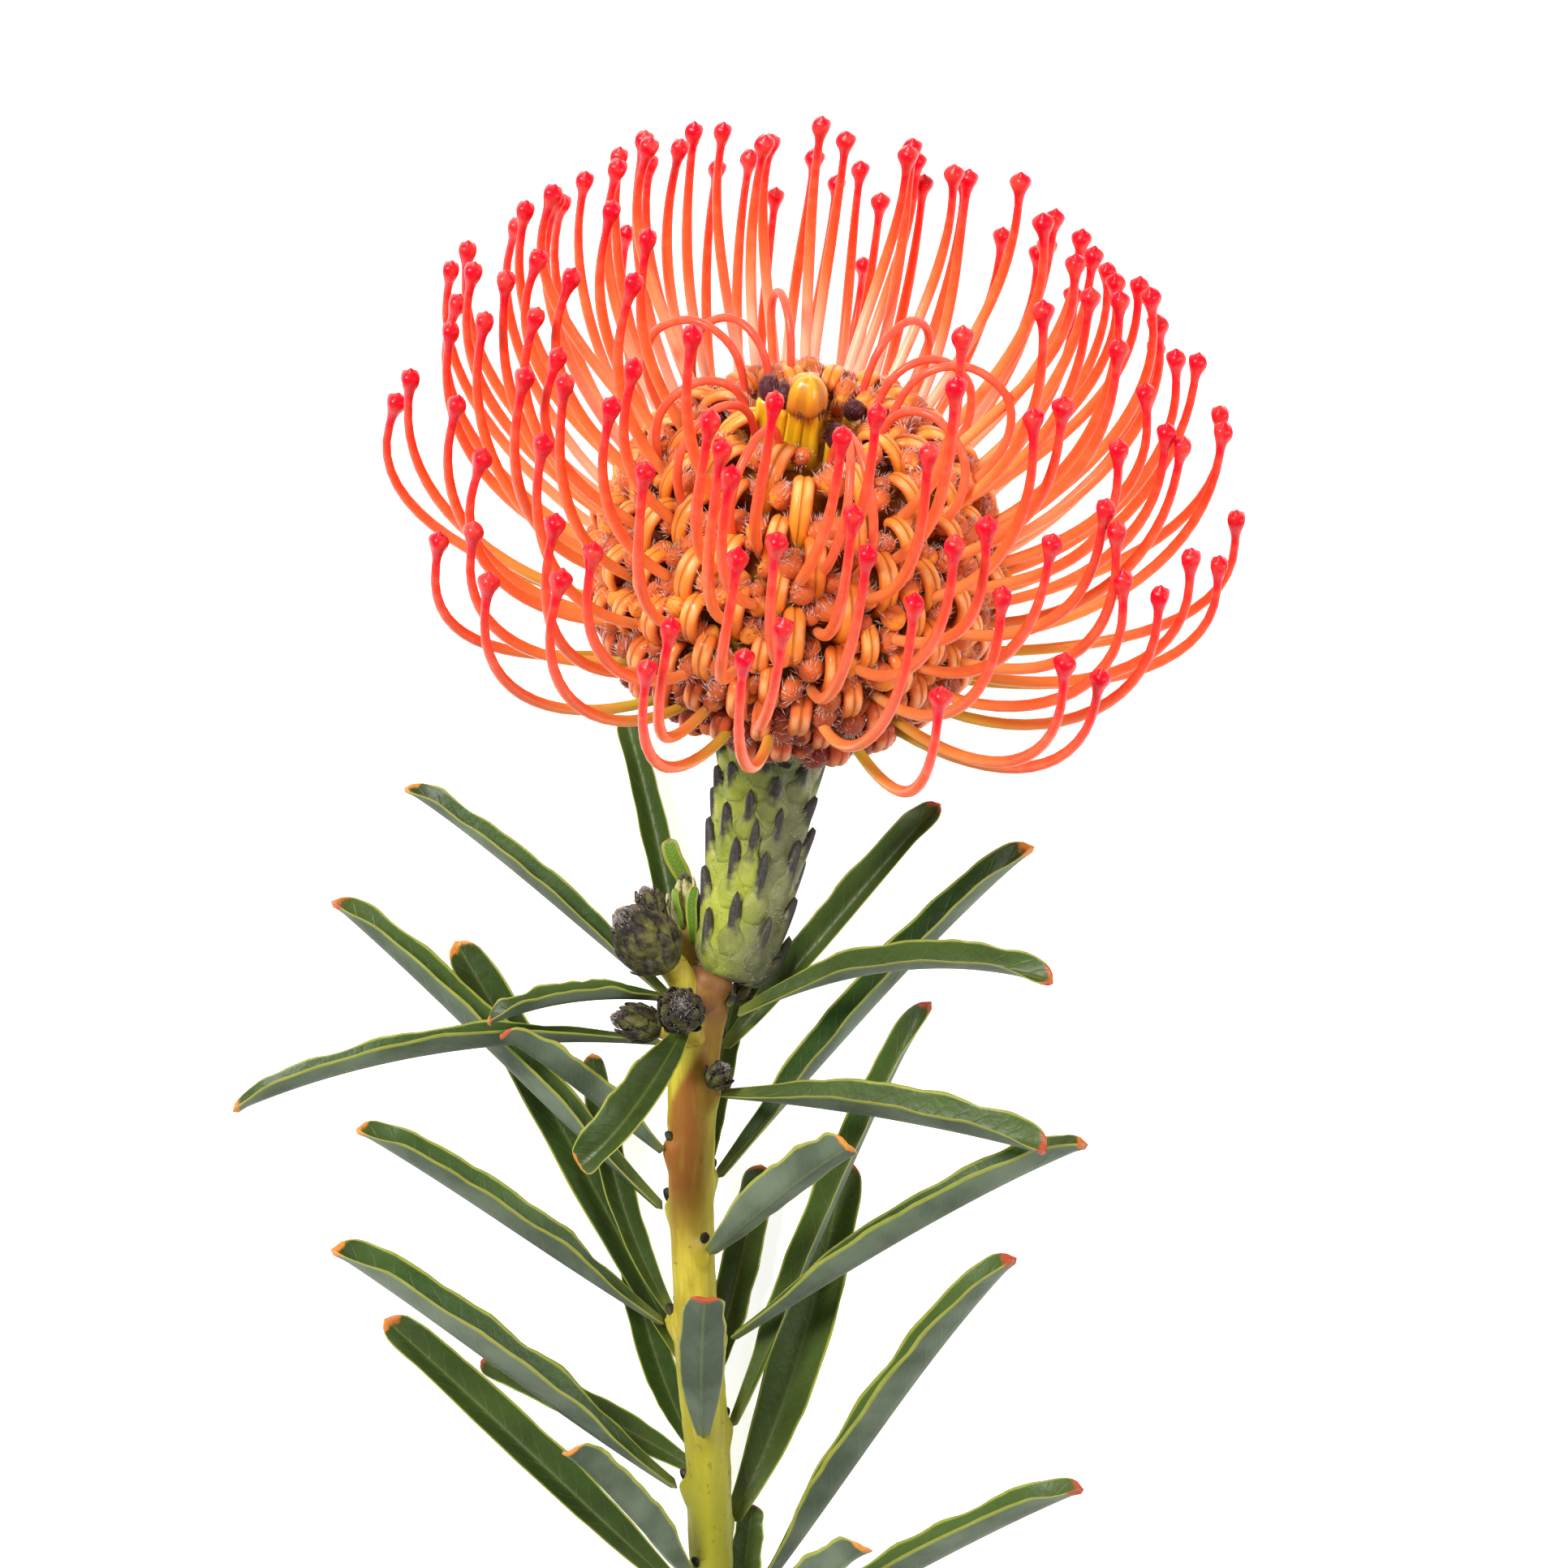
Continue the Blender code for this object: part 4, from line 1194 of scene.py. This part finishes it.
def golden_cap(piece, crown, draw):
    """The large glossy cap, with short dark hairs round its rim."""

    def place(share, angle):
        step = round(share * TUBE_STEPS)
        spot = through(CAP_OUTLINE, between_ends(step, TUBE_STEPS)) * FRONT_CAP_RADIUS
        lobes = 1 + 0.07 * math.cos(5 * angle)
        ring = 0.0 if step in (0, TUBE_STEPS) else spot.x * lobes
        return crown + HEAD_AXIS * spot.y + around(HEAD_RIGHT, HEAD_UP, angle) * ring

    def paint(share, angle):
        return 1.02 + 0.98 * share, math.cos(5 * angle), 0.1, 0.0

    piece.add(closed_form(24, TUBE_STEPS), place, paint)
    for _ in range(CAP_HAIRS):
        out = around(HEAD_RIGHT, HEAD_UP, draw.uniform(0, math.tau))
        root = crown + out * FRONT_CAP_RADIUS * 0.98 - HEAD_AXIS * draw.uniform(-0.3, 0.6)
        tip = root + out * draw.uniform(0.0, 0.4) - HEAD_AXIS * draw.uniform(0.5, 1.3)
        hair(piece, root, tip, 0.09, draw.random() * 0.3, 2)


def head_apex(gold, felt, fur):
    """The closed florets: dark hairy ends on most, and in front a row of golden tubes,
    two of them under a large glossy golden cap."""
    piece = Piece("apex_florets")
    draw = random.Random(81)
    form = closed_form(12, TUBE_STEPS)
    for number in range(APEX_FLORETS):
        turn = number * GOLDEN_ANGLE
        inner = number < APEX_TUBES
        radius = APEX_SPACING * math.sqrt(number)
        if not inner:
            radius = OUTER_APEX_SPACING * math.sqrt(number) + 1.2
        top = APEX_CROWN - APEX_DROP * radius**2 - (0.0 if inner else draw.uniform(0.5, 3.0))
        crown = in_head(radius * 1.12, top - 1.6, turn + draw.uniform(-0.08, 0.08))
        tone, purple = draw.random(), draw.random() < 0.55
        in_front = math.sin(turn) > 0.35 and -0.95 < math.cos(turn) < 0.5
        if in_front and 2.0 < radius < 7.5:
            continue  # the front tubes stand here
        closed_tube(piece, form, in_head(radius * 0.95, 12.0, turn), crown, tone)
        hairy_limb(piece, crown, HEAD_AXIS, 1.45, draw, 1.0 if inner or purple else 0.6, 50)
    for right, front, capped in FRONT_TUBES:
        ring, turn = math.hypot(right, front), math.atan2(front, right)
        foot = in_head(ring * 1.05, FRONT_TUBE_FOOT, turn)
        crown = in_head(ring * 0.97, FRONT_CROWN + draw.uniform(-0.3, 0.3), turn)
        closed_tube(piece, form, foot, crown, draw.random() * 0.3)
        if right < -2:
            hairy_limb(piece, crown + HEAD_AXIS * 0.9, HEAD_AXIS, 1.4, draw, 1.0, 56)
        if capped:
            golden_cap(piece, crown + HEAD_RIGHT * FRONT_CAP_SHIFT, draw)
    piece.finish([gold, felt, fur], "styles_and_perianth", "flower_head")


# ---- peduncle ------------------------------------------------------------------------

PEDUNCLE_STEPS = 60
PEDUNCLE_HAIRS = 1500


def peduncle_radius(share):
    """The peduncle's radius: a rounded foot, then slowly wider up to the head."""
    foot = min(1.0, 0.6 + 0.4 * math.sqrt(min(1.0, share / 0.08)))
    return foot * blend(PEDUNCLE_FOOT_RADIUS, PEDUNCLE_TOP_RADIUS, share)


def peduncle_line():
    """Control points of the peduncle's middle line, which ends square on the head."""
    top = in_head(0, CORE_FOOT_HEIGHT - GAP, 0)
    return PEDUNCLE_FOOT, PEDUNCLE_RISE, top - HEAD_AXIS * 7, top


def peduncle_surface(share, turn, lift):
    """A point on the peduncle, turn round it and lift off it."""
    line = peduncle_line()
    share = min(max(share, 0.0), 1.0)
    ahead = bezier(line, min(1.0, share + 0.02)) - bezier(line, max(0.0, share - 0.02))
    ahead.normalize()
    side = ahead.cross(Vector((0, 0, 1))).normalized()
    out = around(side, side.cross(ahead), turn)
    return bezier(line, share) + out * (peduncle_radius(share) + lift)


def downy_and_shaded(turn):
    """How much down and painted shade the peduncle has: least on its left side, most on its right.
    """
    return min(1.0, max(0.0, 0.5 + 0.42 * math.cos(turn - 0.2)))


def scaly_peduncle(skin, fur):
    """The flower stalk, cushioned with scales whose dark, dry points lie along it."""
    piece = Piece("peduncle_scales")

    def place(share, turn):
        step = round(share * PEDUNCLE_STEPS)
        if step in (0, PEDUNCLE_STEPS):
            return bezier(peduncle_line(), step / PEDUNCLE_STEPS)
        along = max(0.004, min(0.996, share))
        point = peduncle_surface(along, turn, -0.3)
        lumps = 0.35 * rough(point, 2.4) + 0.2 * rough(point, 1.1)
        return peduncle_surface(along, turn, -0.15 + lumps)

    def paint(share, turn):
        return 0.2, 0.5, downy_and_shaded(turn), 0.6 * step_up(share, 0.12, 0.0)

    piece.add(closed_form(64, PEDUNCLE_STEPS), place, paint)
    draw = random.Random(91)
    form = closed_form(16, 18)
    count = BRACT_COUNT + 2
    for number in range(count):
        share = blend(-0.02, 0.82, (number + 0.5) / count) + draw.uniform(-0.02, 0.02)
        turn = number * GOLDEN_ANGLE + draw.uniform(-0.15, 0.15)
        scale(
            piece,
            form,
            peduncle_surface,
            peduncle_scale_width,
            start=share - 0.02,
            reach=draw.uniform(0.2, 0.27),
            turn=turn,
            half_turn=draw.uniform(0.5, 0.64),
            lift=(-0.35, draw.uniform(0.5, 1.2)),
            thick=0.75,
            sink=(1.0, 0.25),
            marks=(downy_and_shaded(turn), 0.85 * step_up(share, 0.14, 0.0)),
        )
    for _ in range(PEDUNCLE_HAIRS):
        share = draw.uniform(0.02, 0.98)
        turn = draw.uniform(0, math.tau)
        root = peduncle_surface(share, turn, -0.1)
        swing, drift = draw.uniform(-0.06, 0.06), draw.uniform(-0.01, 0.02)
        tip = peduncle_surface(share + drift, turn + swing, draw.uniform(0.35, 0.8))
        hair(piece, root, tip, 0.03, draw.random(), 1)
    piece.finish([skin, fur], "bract_scales", "peduncle")


# ---- stem ----------------------------------------------------------------------------

STEM_STEPS = 190
CUSHIONS = [(row[0], math.radians(row[1])) for row in LEAVES.values()]
CLOSING = (0.0, 0.45, 0.94)  # shares of the radius by which the stem's ends close
# The cut across the stem's foot: the rings' radii, and how far down the stem they lie.
CUT_RADII = (0.0, 0.8, 1.7, 2.3, 2.5, 2.3, 0.0)
CUT_DEPTHS = (0.1, 0.1, 0.1, 0.1, 0.0, -0.3, -0.3)
# Stalks that join the stem's top to what grows from it: points, radii, how worn and
# how flushed.
STALKS = (
    (
        ((-11.2, -33.0, 14.4), (-10.7, -29.6, 15.2), (-10.2, -26.8, 15.8), (-8.8, -23.6, 16.4)),
        (2.5, 2.9, 3.0, 2.9),
        0.8,
        0.6,
    ),
    (
        ((-10.6, -29.6, 15.0), (-12.0, -26.6, 16.8), (-13.6, -23.8, 18.4), (-15.0, -22.0, 20.0)),
        (2.0, 1.9, 1.9, 1.8),
        0.2,
        0.0,
    ),
    (
        ((-10.8, -28.6, 14.6), (-11.6, -24.0, 14.4), (-12.2, -19.8, 13.8), (-12.7, -18.0, 13.2)),
        (2.2, 2.1, 1.8, 1.4),
        0.5,
        0.1,
    ),
    (
        ((-11.2, -33.4, 16.0), (-12.8, -32.0, 17.8), (-14.9, -31.2, 18.8), (-16.0, -31.0, 19.0)),
        (1.4, 1.3, 1.3, 1.2),
        0.3,
        0.1,
    ),
    (
        ((-11.0, -32.6, 16.4), (-12.0, -31.2, 18.6), (-13.0, -29.6, 20.4), (-13.0, -29.0, 21.6)),
        (1.5, 1.5, 1.7, 1.8),
        0.3,
        0.1,
    ),
)


def stem_share(height):
    """How far along the stem its middle line reaches a height along Y."""
    low, high = 0.0, 1.0
    for _ in range(30):
        middle = (low + high) / 2
        if through(STEM_ROUTE, middle).y < height:
            low = middle
        else:
            high = middle
    return low


def stem_radius(height, turn):
    """The bark's radius, with a cushion under each leaf and a ridge down from it."""
    radius = STEM_RADIUS - 0.3
    for leaf_height, side in CUSHIONS:
        below = leaf_height - height
        if not -6 < below < 34:
            continue
        apart = angle_between(turn, side)
        ridge = 0.42 * bell(apart, 0.34) * step_up(below, -1.5, 0.5) * step_up(below, 32, 4)
        cushion = 1.25 * bell(apart, 0.42) * bell(below + 0.3, 2.6 if below > 0 else 1.3)
        cushion *= 1 - 0.7 * step_up(leaf_height, -38, -32)
        radius += max(ridge, cushion)
    return radius


def bark_place(share, turn):
    """The stem's surface, closed to a point at both ends."""
    step = round(share * STEM_STEPS)
    from_end = min(step, STEM_STEPS - step)
    inner = CLOSING[from_end] if from_end < len(CLOSING) else 1.0
    step = min(max(step, 2), STEM_STEPS - 2)
    middle = through(STEM_ROUTE, (step - 2) / (STEM_STEPS - 4))
    inner *= 1 - 0.12 * step_up(middle.y, -30, -27)
    out = upright(turn)
    point = middle + out * stem_radius(middle.y, turn) * inner
    return point + out * 0.08 * rough(point, 1.5) * inner


def bark_paint(share, turn):
    """Its flush lies on the right at the stem's top and winds to its front below."""
    step = round(share * STEM_STEPS)
    height = through(STEM_ROUTE, (step - 2) / (STEM_STEPS - 4)).y
    middle = blend(105, 25, step_up(height, -43, -33))
    sunny = math.cos(turn - math.radians(middle))
    flush = step_up(height, -62, -47) * step_up(sunny, 0.35, 0.85)
    flush += 0.2 * step_up(sunny, 0.1, 0.8) * step_up(height, -120, -50)
    # How much of the painted shade on the stem's right side falls here.
    right = step_up(math.cos(turn - math.radians(20)), 0.0, 0.9)
    from_end = min(step, STEM_STEPS - step)
    if from_end < len(CLOSING):
        right = (0.0, 0.45, 1.0)[from_end]
    return share, right, 0.7 * step_up(height, -31.5, -28), min(1.0, flush)


def stalks(piece):
    """The stalks, whose rounded ends lie inside what they join."""
    steps = 14
    form = closed_form(20, steps)
    shares = [between_ends(step, steps) for step in range(steps + 1)]
    for corners, widths, worn, flush in STALKS:
        corners = [Vector(corner) for corner in corners]
        widths = flat_route(*((width, 0.0) for width in widths))
        points = [through(corners, share) for share in shares]
        points[0] -= (points[2] - points[1]) * 0.6
        points[-1] += (points[-2] - points[-3]) * 0.6
        radii = [
            through(widths, share).x * min(1.0, 0.55 + 0.225 * min(step, steps - step))
            for step, share in enumerate(shares)
        ]
        place = along_path(points, round_section(radii))
        piece.add(form, place, lambda share, turn: (0.6, 0.5, worn, flush))


def cut_end(piece):
    """The cut across the stem's foot, a slightly hollow disc with a bevelled rim."""
    foot = through(STEM_ROUTE, 0.0)
    down_stem = (foot - through(STEM_ROUTE, 0.02)).normalized()
    wide = down_stem.orthogonal().normalized()
    high = down_stem.cross(wide)
    steps = len(CUT_RADII) - 1

    def place(share, turn):
        step = round(share * steps)
        return foot + down_stem * CUT_DEPTHS[step] + around(wide, high, turn) * CUT_RADII[step]

    def paint(share, turn):
        return 0.0, CUT_RADII[round(share * steps)] / max(CUT_RADII), 0.0, 0.0

    piece.add(closed_form(24, steps), place, paint, 1)


def axil_bud(piece, form, height, side, size):
    """The small dark bud in a leaf's armpit."""
    out = upright(side)
    heart = through(STEM_ROUTE, stem_share(height + 1.9)) + out * (STEM_RADIUS + 0.25)
    along = (Vector((0, 1, 0)) * 0.8 + out * 0.7).normalized()
    across = along.orthogonal().normalized()
    up = along.cross(across)

    def place(share, turn):
        ring = math.sin(math.pi * share) ** 0.8 * size * (1 - 0.35 * share)
        ring *= 1 + 0.12 * math.cos(3 * turn + 5 * share)
        middle = heart - along * math.cos(math.pi * share) * size * 1.3
        return middle + around(across, up, turn) * ring

    piece.add(form, place, lambda share, turn: (0.6 + 0.4 * share, 0.6, 0.3, 0.8), 2)


def leafy_stem(bark, wood, scale_skin):
    """The stem, its cut foot, the short stalks at its top and the buds in its axils."""
    piece = Piece("stem_bark_and_cut")
    piece.add(closed_form(48, STEM_STEPS), bark_place, bark_paint)
    stalks(piece)
    cut_end(piece)
    draw = random.Random(101)
    form = closed_form(10, 7)
    for height, side in CUSHIONS:
        axil_bud(piece, form, height, side, draw.uniform(0.65, 0.95))
    piece.finish([bark, wood, scale_skin], "stem_bark", "stem")


# ---- leaves --------------------------------------------------------------------------

LEAF_STEPS = 52
# Half the thickness of the blade and of its margin, and what its tip and midrib add.
BLADE_THICKNESS = 0.2
MARGIN_THICKNESS = 0.36
CALLUS_THICKNESS = 0.25
MIDRIB_THICKNESS = 0.3
FOLD_GAIN = 12.0  # degrees by which the blade's flanks stand steeper near its margin


def leaf_half_width(share, width):
    """Half the blade's width: a narrow foot, widest past the middle, a blunt tip."""
    body = math.sin(math.pi * min(1.0, 0.16 + 0.61 * share)) ** 0.8
    tip = math.sqrt(max(0.0, 1 - max(0.0, (share - 0.88) / 0.12) ** 2 * 0.7))
    foot = blend(0.42, 1.0, min(1.0, share / 0.35))
    return 0.5 * width * body * tip * foot


def leaf_midrib(height, side, tip, bow):
    """The midrib's control points, from the stem's surface to the tip."""
    out = upright(math.radians(side))
    base = through(STEM_ROUTE, stem_share(height)) + out * (STEM_RADIUS + LEAF_FOOT_GAP)
    tip = Vector(tip)
    reach = (tip - base).length
    lateral = Vector((0, 0, 1)).cross(tip - base).normalized()
    lean = lateral * bow[0] + Vector((0, 0, bow[1]))
    first = base + (tip - base) * 0.3 + lean + out * reach * 0.05
    second = base + (tip - base) * 0.7 + lean
    return base, first, second, tip


def blade_rings(midrib, face):
    """For each step along the blade: its share, place, width direction and upper side.
    The steps lie closer together towards both ends."""
    facing = Vector((0, math.cos(math.radians(face)), math.sin(math.radians(face))))
    rings = []
    for step in range(LEAF_STEPS + 1):
        even = step / LEAF_STEPS
        share = even + 0.35 * (0.5 - 0.5 * math.cos(math.pi * even) - even)
        here = bezier(midrib, share)
        ahead = bezier(midrib, min(share + 0.02, 1)) - bezier(midrib, max(share - 0.02, 0))
        ahead.normalize()
        upper = (facing - ahead * ahead.dot(facing)).normalized()
        rings.append((share, here, upper.cross(ahead), upper))
    return rings


def leaf(name, row, skin, form, draw):
    """One leaf: a channelled blade with a rounded, waved margin and a callused tip."""
    height, side, tip, width, bow, face, fold = row
    midrib = leaf_midrib(height, side, tip, bow)
    rings = blade_rings(midrib, face)
    seed, tone = draw.uniform(0, 50), draw.random()

    def blade_point(share, here, wide, upper, off, face):
        """off runs -1 to 1 across the blade and face -1 to 1 from its lower side up."""
        rounded = math.sqrt(max(0.0, 1 - max(0.0, (share - 0.955) / 0.045) ** 2))
        half = leaf_half_width(share, width) * rounded
        tilt = math.radians(fold + FOLD_GAIN) * min(1.0, 0.35 + share * 2.0)
        tilt *= 1 - 0.4 * step_up(share, 0.85, 1.0)
        edge = abs(off) ** 1.25
        flank = Vector((share * 9.0 + seed, 2.0 if off > 0 else 7.0, 0.0))
        wave = 0.55 * noise.noise(flank) + 0.2 * noise.noise(flank * 2.3)
        wave *= abs(off) ** 3 * step_up(share, 0.08, 0.3) * min(1.0, half)
        thick = blend(BLADE_THICKNESS, MARGIN_THICKNESS, step_up(abs(off), 0.82, 0.97))
        thick += MIDRIB_THICKNESS * bell(off, 0.12) * (1 - share) * (1.0 if face < 0 else 0.15)
        thick += CALLUS_THICKNESS * step_up(share, 0.96, 0.99)
        thick *= min(1.0, 0.35 + half / 1.2)
        point = here + wide * (off * half * math.cos(tilt) + 0.4 * wave * off)
        point += upper * (edge * half * math.sin(tilt) + wave + face * thick)
        return smooth_floor(point, 0.45 + 0.3 * (face + 1) / 2)

    def place(share, turn):
        step = round(share * LEAF_STEPS)
        if step in (0, LEAF_STEPS):
            return smooth_floor(rings[step][1], 0.6)
        return blade_point(*rings[step], math.cos(turn), math.sin(turn))

    def paint(share, turn):
        return rings[round(share * LEAF_STEPS)][0], math.cos(turn), tone, math.sin(turn)

    piece = Piece(name + "_blade")
    piece.add(form, place, paint)
    piece.finish([skin], "leaf_blade", name)


# ---- buds ----------------------------------------------------------------------------

# A small bud behind bud_large, in the same terms as BUDS.
SIDE_BUD = ((-17.0, -15.3, 18.4), (-0.35, 0.9, 0.25), 5.0, 4.0, 14, 1.0)
# Young leaves beside bud_pale: points, half the width and tone.
YOUNG_LEAVES = (
    (
        ((-12.0, -15.6, 11.0), (-12.9, -12.0, 12.0), (-14.2, -9.4, 12.6), (-14.9, -6.9, 12.9)),
        1.2,
        1.0,
    ),
    (
        ((-11.6, -20.8, 15.4), (-11.7, -18.0, 16.6), (-11.8, -15.2, 16.8), (-11.3, -12.9, 16.6)),
        0.75,
        0.2,
    ),
    (
        ((-13.0, -18.6, 15.2), (-13.3, -16.8, 16.0), (-13.8, -15.0, 16.2), (-13.9, -13.2, 16.0)),
        0.5,
        1.0,
    ),
)
BUD_HAIRS = 1500  # on a woolly bud 8 mm wide


def young_leaf(piece, corners, half_width, tone):
    """A short, folded young leaf. Material 3 of its piece is its blade."""
    steps = 16
    corners = [Vector(corner) for corner in corners]
    points = [through(corners, step / steps) for step in range(steps + 1)]

    def section(step, turn):
        share = step / steps
        end = math.sqrt(max(0.0, 1 - max(0.0, (share - 0.8) / 0.2) ** 2 * 0.8))
        half = half_width * min(1.0, 0.55 + share) * end
        x = math.cos(turn)
        return x * half, 0.3 * math.sin(turn) + 0.3 * x * x * half

    def paint(share, turn):
        return 0.2 + 0.8 * share, math.cos(turn), tone, math.sin(turn)

    piece.add(closed_form(14, steps), along_path(points, section, Vector((-1, 0, 0))), paint, 3)


def bud_body(piece, row, draw):
    """Overlapping felted scales round a solid heart, and the wool on its point. Materials
    1 and 2 of its piece are the dark and the pale wool."""
    middle, direction, length, width, scales, wool = row
    middle = Vector(middle)
    along = Vector(direction).normalized()
    side = along.cross(Vector((0, 1, 0.3))).normalized()
    up = along.cross(side)

    def surface(polar, turn, lift):
        """polar runs from 0 at the foot to pi at the point."""
        share = polar / math.pi
        taper = 1.06 - 0.5 * ((1 - math.cos(polar)) / 2) ** 2
        ring = math.sin(polar) * (width / 2 * 0.88) * taper + lift * math.sin(polar)
        height = -math.cos(polar) * (length / 2 - 0.35) + lift * (0.35 + 0.3 * share)
        return middle + along * height + around(side, up, turn) * ring

    def heart(share, turn):
        lumps = 0.5 * step_up(share, 0.6, 0.8) * rough(surface(math.pi * share, turn, 0.0), 0.9)
        return surface(math.pi * share, turn, -0.2 + lumps)

    def heart_paint(share, turn):
        return 0.35 + 0.65 * step_up(share, 0.5, 0.75), 0.3, 0.4, wool

    piece.add(closed_form(28, 20), heart, heart_paint)
    form = closed_form(12, 14)
    for number in range(scales):
        share = (number + 0.5) / scales
        scale(
            piece,
            form,
            surface,
            bud_scale_width,
            start=blend(0.02, 0.66, share) * math.pi - 0.2,
            reach=draw.uniform(1.1, 1.5) * (1 - 0.3 * share),
            turn=number * GOLDEN_ANGLE + draw.uniform(-0.15, 0.15),
            half_turn=draw.uniform(0.3, 0.42) * (1 + 0.5 * share),
            lift=(-0.12, draw.uniform(0.35, 0.95)),
            thick=0.3,
            sink=(0.12, 0.1),
            marks=(draw.random(), wool),
        )
    wool_from = 0.3 if wool > 0.3 else 0.75
    for _ in range(int(BUD_HAIRS * max(wool, 0.3) * width / 8)):
        polar = blend(wool_from, 1.0, draw.random() ** 0.45) * math.pi
        turn = draw.uniform(0, math.tau)
        root = surface(polar, turn, 0.1)
        swing = draw.uniform(-0.25, 0.25)
        tip = surface(polar + draw.uniform(-0.05, 0.25), turn + swing, draw.uniform(0.3, 0.9))
        pale = polar > 0.72 * math.pi and draw.random() < 0.4 * wool
        hair(piece, root, tip, 0.055, draw.random(), 2 if pale else 1)


def bud(name, row, materials, draw):
    """A bud, with what grows beside it."""
    piece = Piece(name + "_scales")
    bud_body(piece, row, draw)
    if name == "bud_large":
        bud_body(piece, SIDE_BUD, draw)
    if name == "bud_pale":
        for corners, half_width, tone in YOUNG_LEAVES:
            young_leaf(piece, corners, half_width, tone)
    piece.finish(materials, "bud_scales", name)


# ---- studio --------------------------------------------------------------------------

CAMERA_HEIGHT = 460.0
FIELD_OF_VIEW = math.radians(25.4)
SENSOR_WIDTH = 36.0
LAMP_AIM = Vector((0.0, 0.0, 0.02))


def area_light(name, place, size, watts):
    light = bpy.data.lights.new(name, "AREA")
    light.shape = "DISK"
    light.size = size
    light.energy = watts
    lamp = bpy.data.objects.new(name, light)
    lamp.location = place
    lamp.rotation_mode = "QUATERNION"
    lamp.rotation_quaternion = (LAMP_AIM - Vector(place)).to_track_quat("-Z", "Y")
    bpy.context.scene.collection.objects.link(lamp)


def white_table():
    """A white laminate table, lit through so that it leaves no shadow edge."""
    bm = bmesh.new()
    bmesh.ops.create_grid(bm, x_segments=1, y_segments=1, size=3.0)
    mesh = bpy.data.meshes.new("table")
    bm.to_mesh(mesh)
    bm.free()
    laminate, _, _ = new_material(
        "white table laminate",
        Base_Color=srgb("#F4F4F4"),
        Roughness=0.8,
        Emission_Color=srgb("#FFFFFF"),
        Emission_Strength=0.75,
    )
    mesh.materials.append(laminate)
    table = bpy.data.objects.new("table", mesh)
    bpy.context.scene.collection.objects.link(table)


def studio():
    """Broad soft light on a white table, and a camera that looks straight down."""
    white_table()
    world = bpy.data.worlds.new("studio")
    world.use_nodes = True
    backdrop = world.node_tree.nodes["Background"]
    backdrop.inputs["Color"].default_value = srgb("#FFFFFF")
    backdrop.inputs["Strength"].default_value = 0.35
    bpy.context.scene.world = world
    area_light("key", (-0.45, 0.4, 0.85), 0.35, 13.0)
    area_light("right fill", (0.7, -0.1, 0.6), 0.5, 4.0)

    lens = bpy.data.cameras.new("camera")
    lens.sensor_width = SENSOR_WIDTH
    lens.lens = SENSOR_WIDTH / 2 / math.tan(FIELD_OF_VIEW / 2)
    lens.clip_start = 0.01
    camera = bpy.data.objects.new("camera", lens)
    camera.location = (DESIGN_ORIGIN + Vector((0, 0, CAMERA_HEIGHT))) * MM
    bpy.context.scene.collection.objects.link(camera)
    bpy.context.scene.camera = camera
    bpy.context.scene.view_settings.view_transform = "Standard"


# ---- the whole flower ----------------------------------------------------------------


def main():
    wax = style_wax(
        "waxy style skin",
        (
            (0.0, "#F0C080"), (0.08, "#F9AA62"), (0.17, "#FB8E4A"), (0.28, "#FC7438"),
            (0.38, "#FB5A2C"), (0.46, "#F43E28"), (0.52, "#E81826"), (0.6, "#E00020"),
            (0.93, "#DA0020"), (1.0, "#CC2030"),
        ),
        ((0.0, "#AEB02A"), (0.1, "#CEC23C"), (0.2, "#F09E4C"), (0.3, "#FB6A3E")),
    )
    coral = style_wax(
        "coral looped style skin",
        ((0.0, "#F69A58"), (0.2, "#F4784A"), (0.45, "#F0603F"), (1.0, "#E24836")),
        ((0.0, "#F49A62"), (0.3, "#F27A56")),
    )
    skin, felt, gold = perianth_skin(), limb_felt(), tube_gold()
    bracts, bud_skin = bract_skin(), bud_scale()
    pink_fur = down("pinkish perianth hair", "#FFE6DC", "#C8806E")
    brown_fur = down("purple-brown apex hair", "#9A6A66", "#431D22")
    grey_fur = down("grey-white down", "#E8E8DC", "#9AA08A")
    blade = leaf_blade(
        "leathery leaf blade", ("#20300C", "#364A1A"), ("#46523E", "#6C7862"), "#66763A"
    )
    tender = leaf_blade(
        "tender leaf blade", ("#466C14", "#5E8618"), ("#7E8E4E", "#A8B070"), "#86A040", 0.6
    )
    bud_materials = [
        bud_skin,
        down("dark bud wool", "#77706C", "#2A2627"),
        down("pale bud-tip wool", "#D6D0C8", "#6A6260"),
        tender,
    ]

    flower_styles(wax)
    looped_styles(coral, felt, brown_fur)
    curled_perianths(skin, felt, pink_fur)
    floret_core(receptacle_wool(), grey_fur)
    foot_bracts(bracts, gold)
    head_apex(gold, felt, brown_fur)
    scaly_peduncle(bracts, grey_fur)
    leafy_stem(stem_bark(), cut_wood(), bud_skin)
    draw = random.Random(111)
    form = closed_form(22, LEAF_STEPS)
    for name, row in LEAVES.items():
        leaf(name, row, blade, form, draw)
    for name, row in BUDS.items():
        bud(name, row, bud_materials, draw)
    studio()


main()
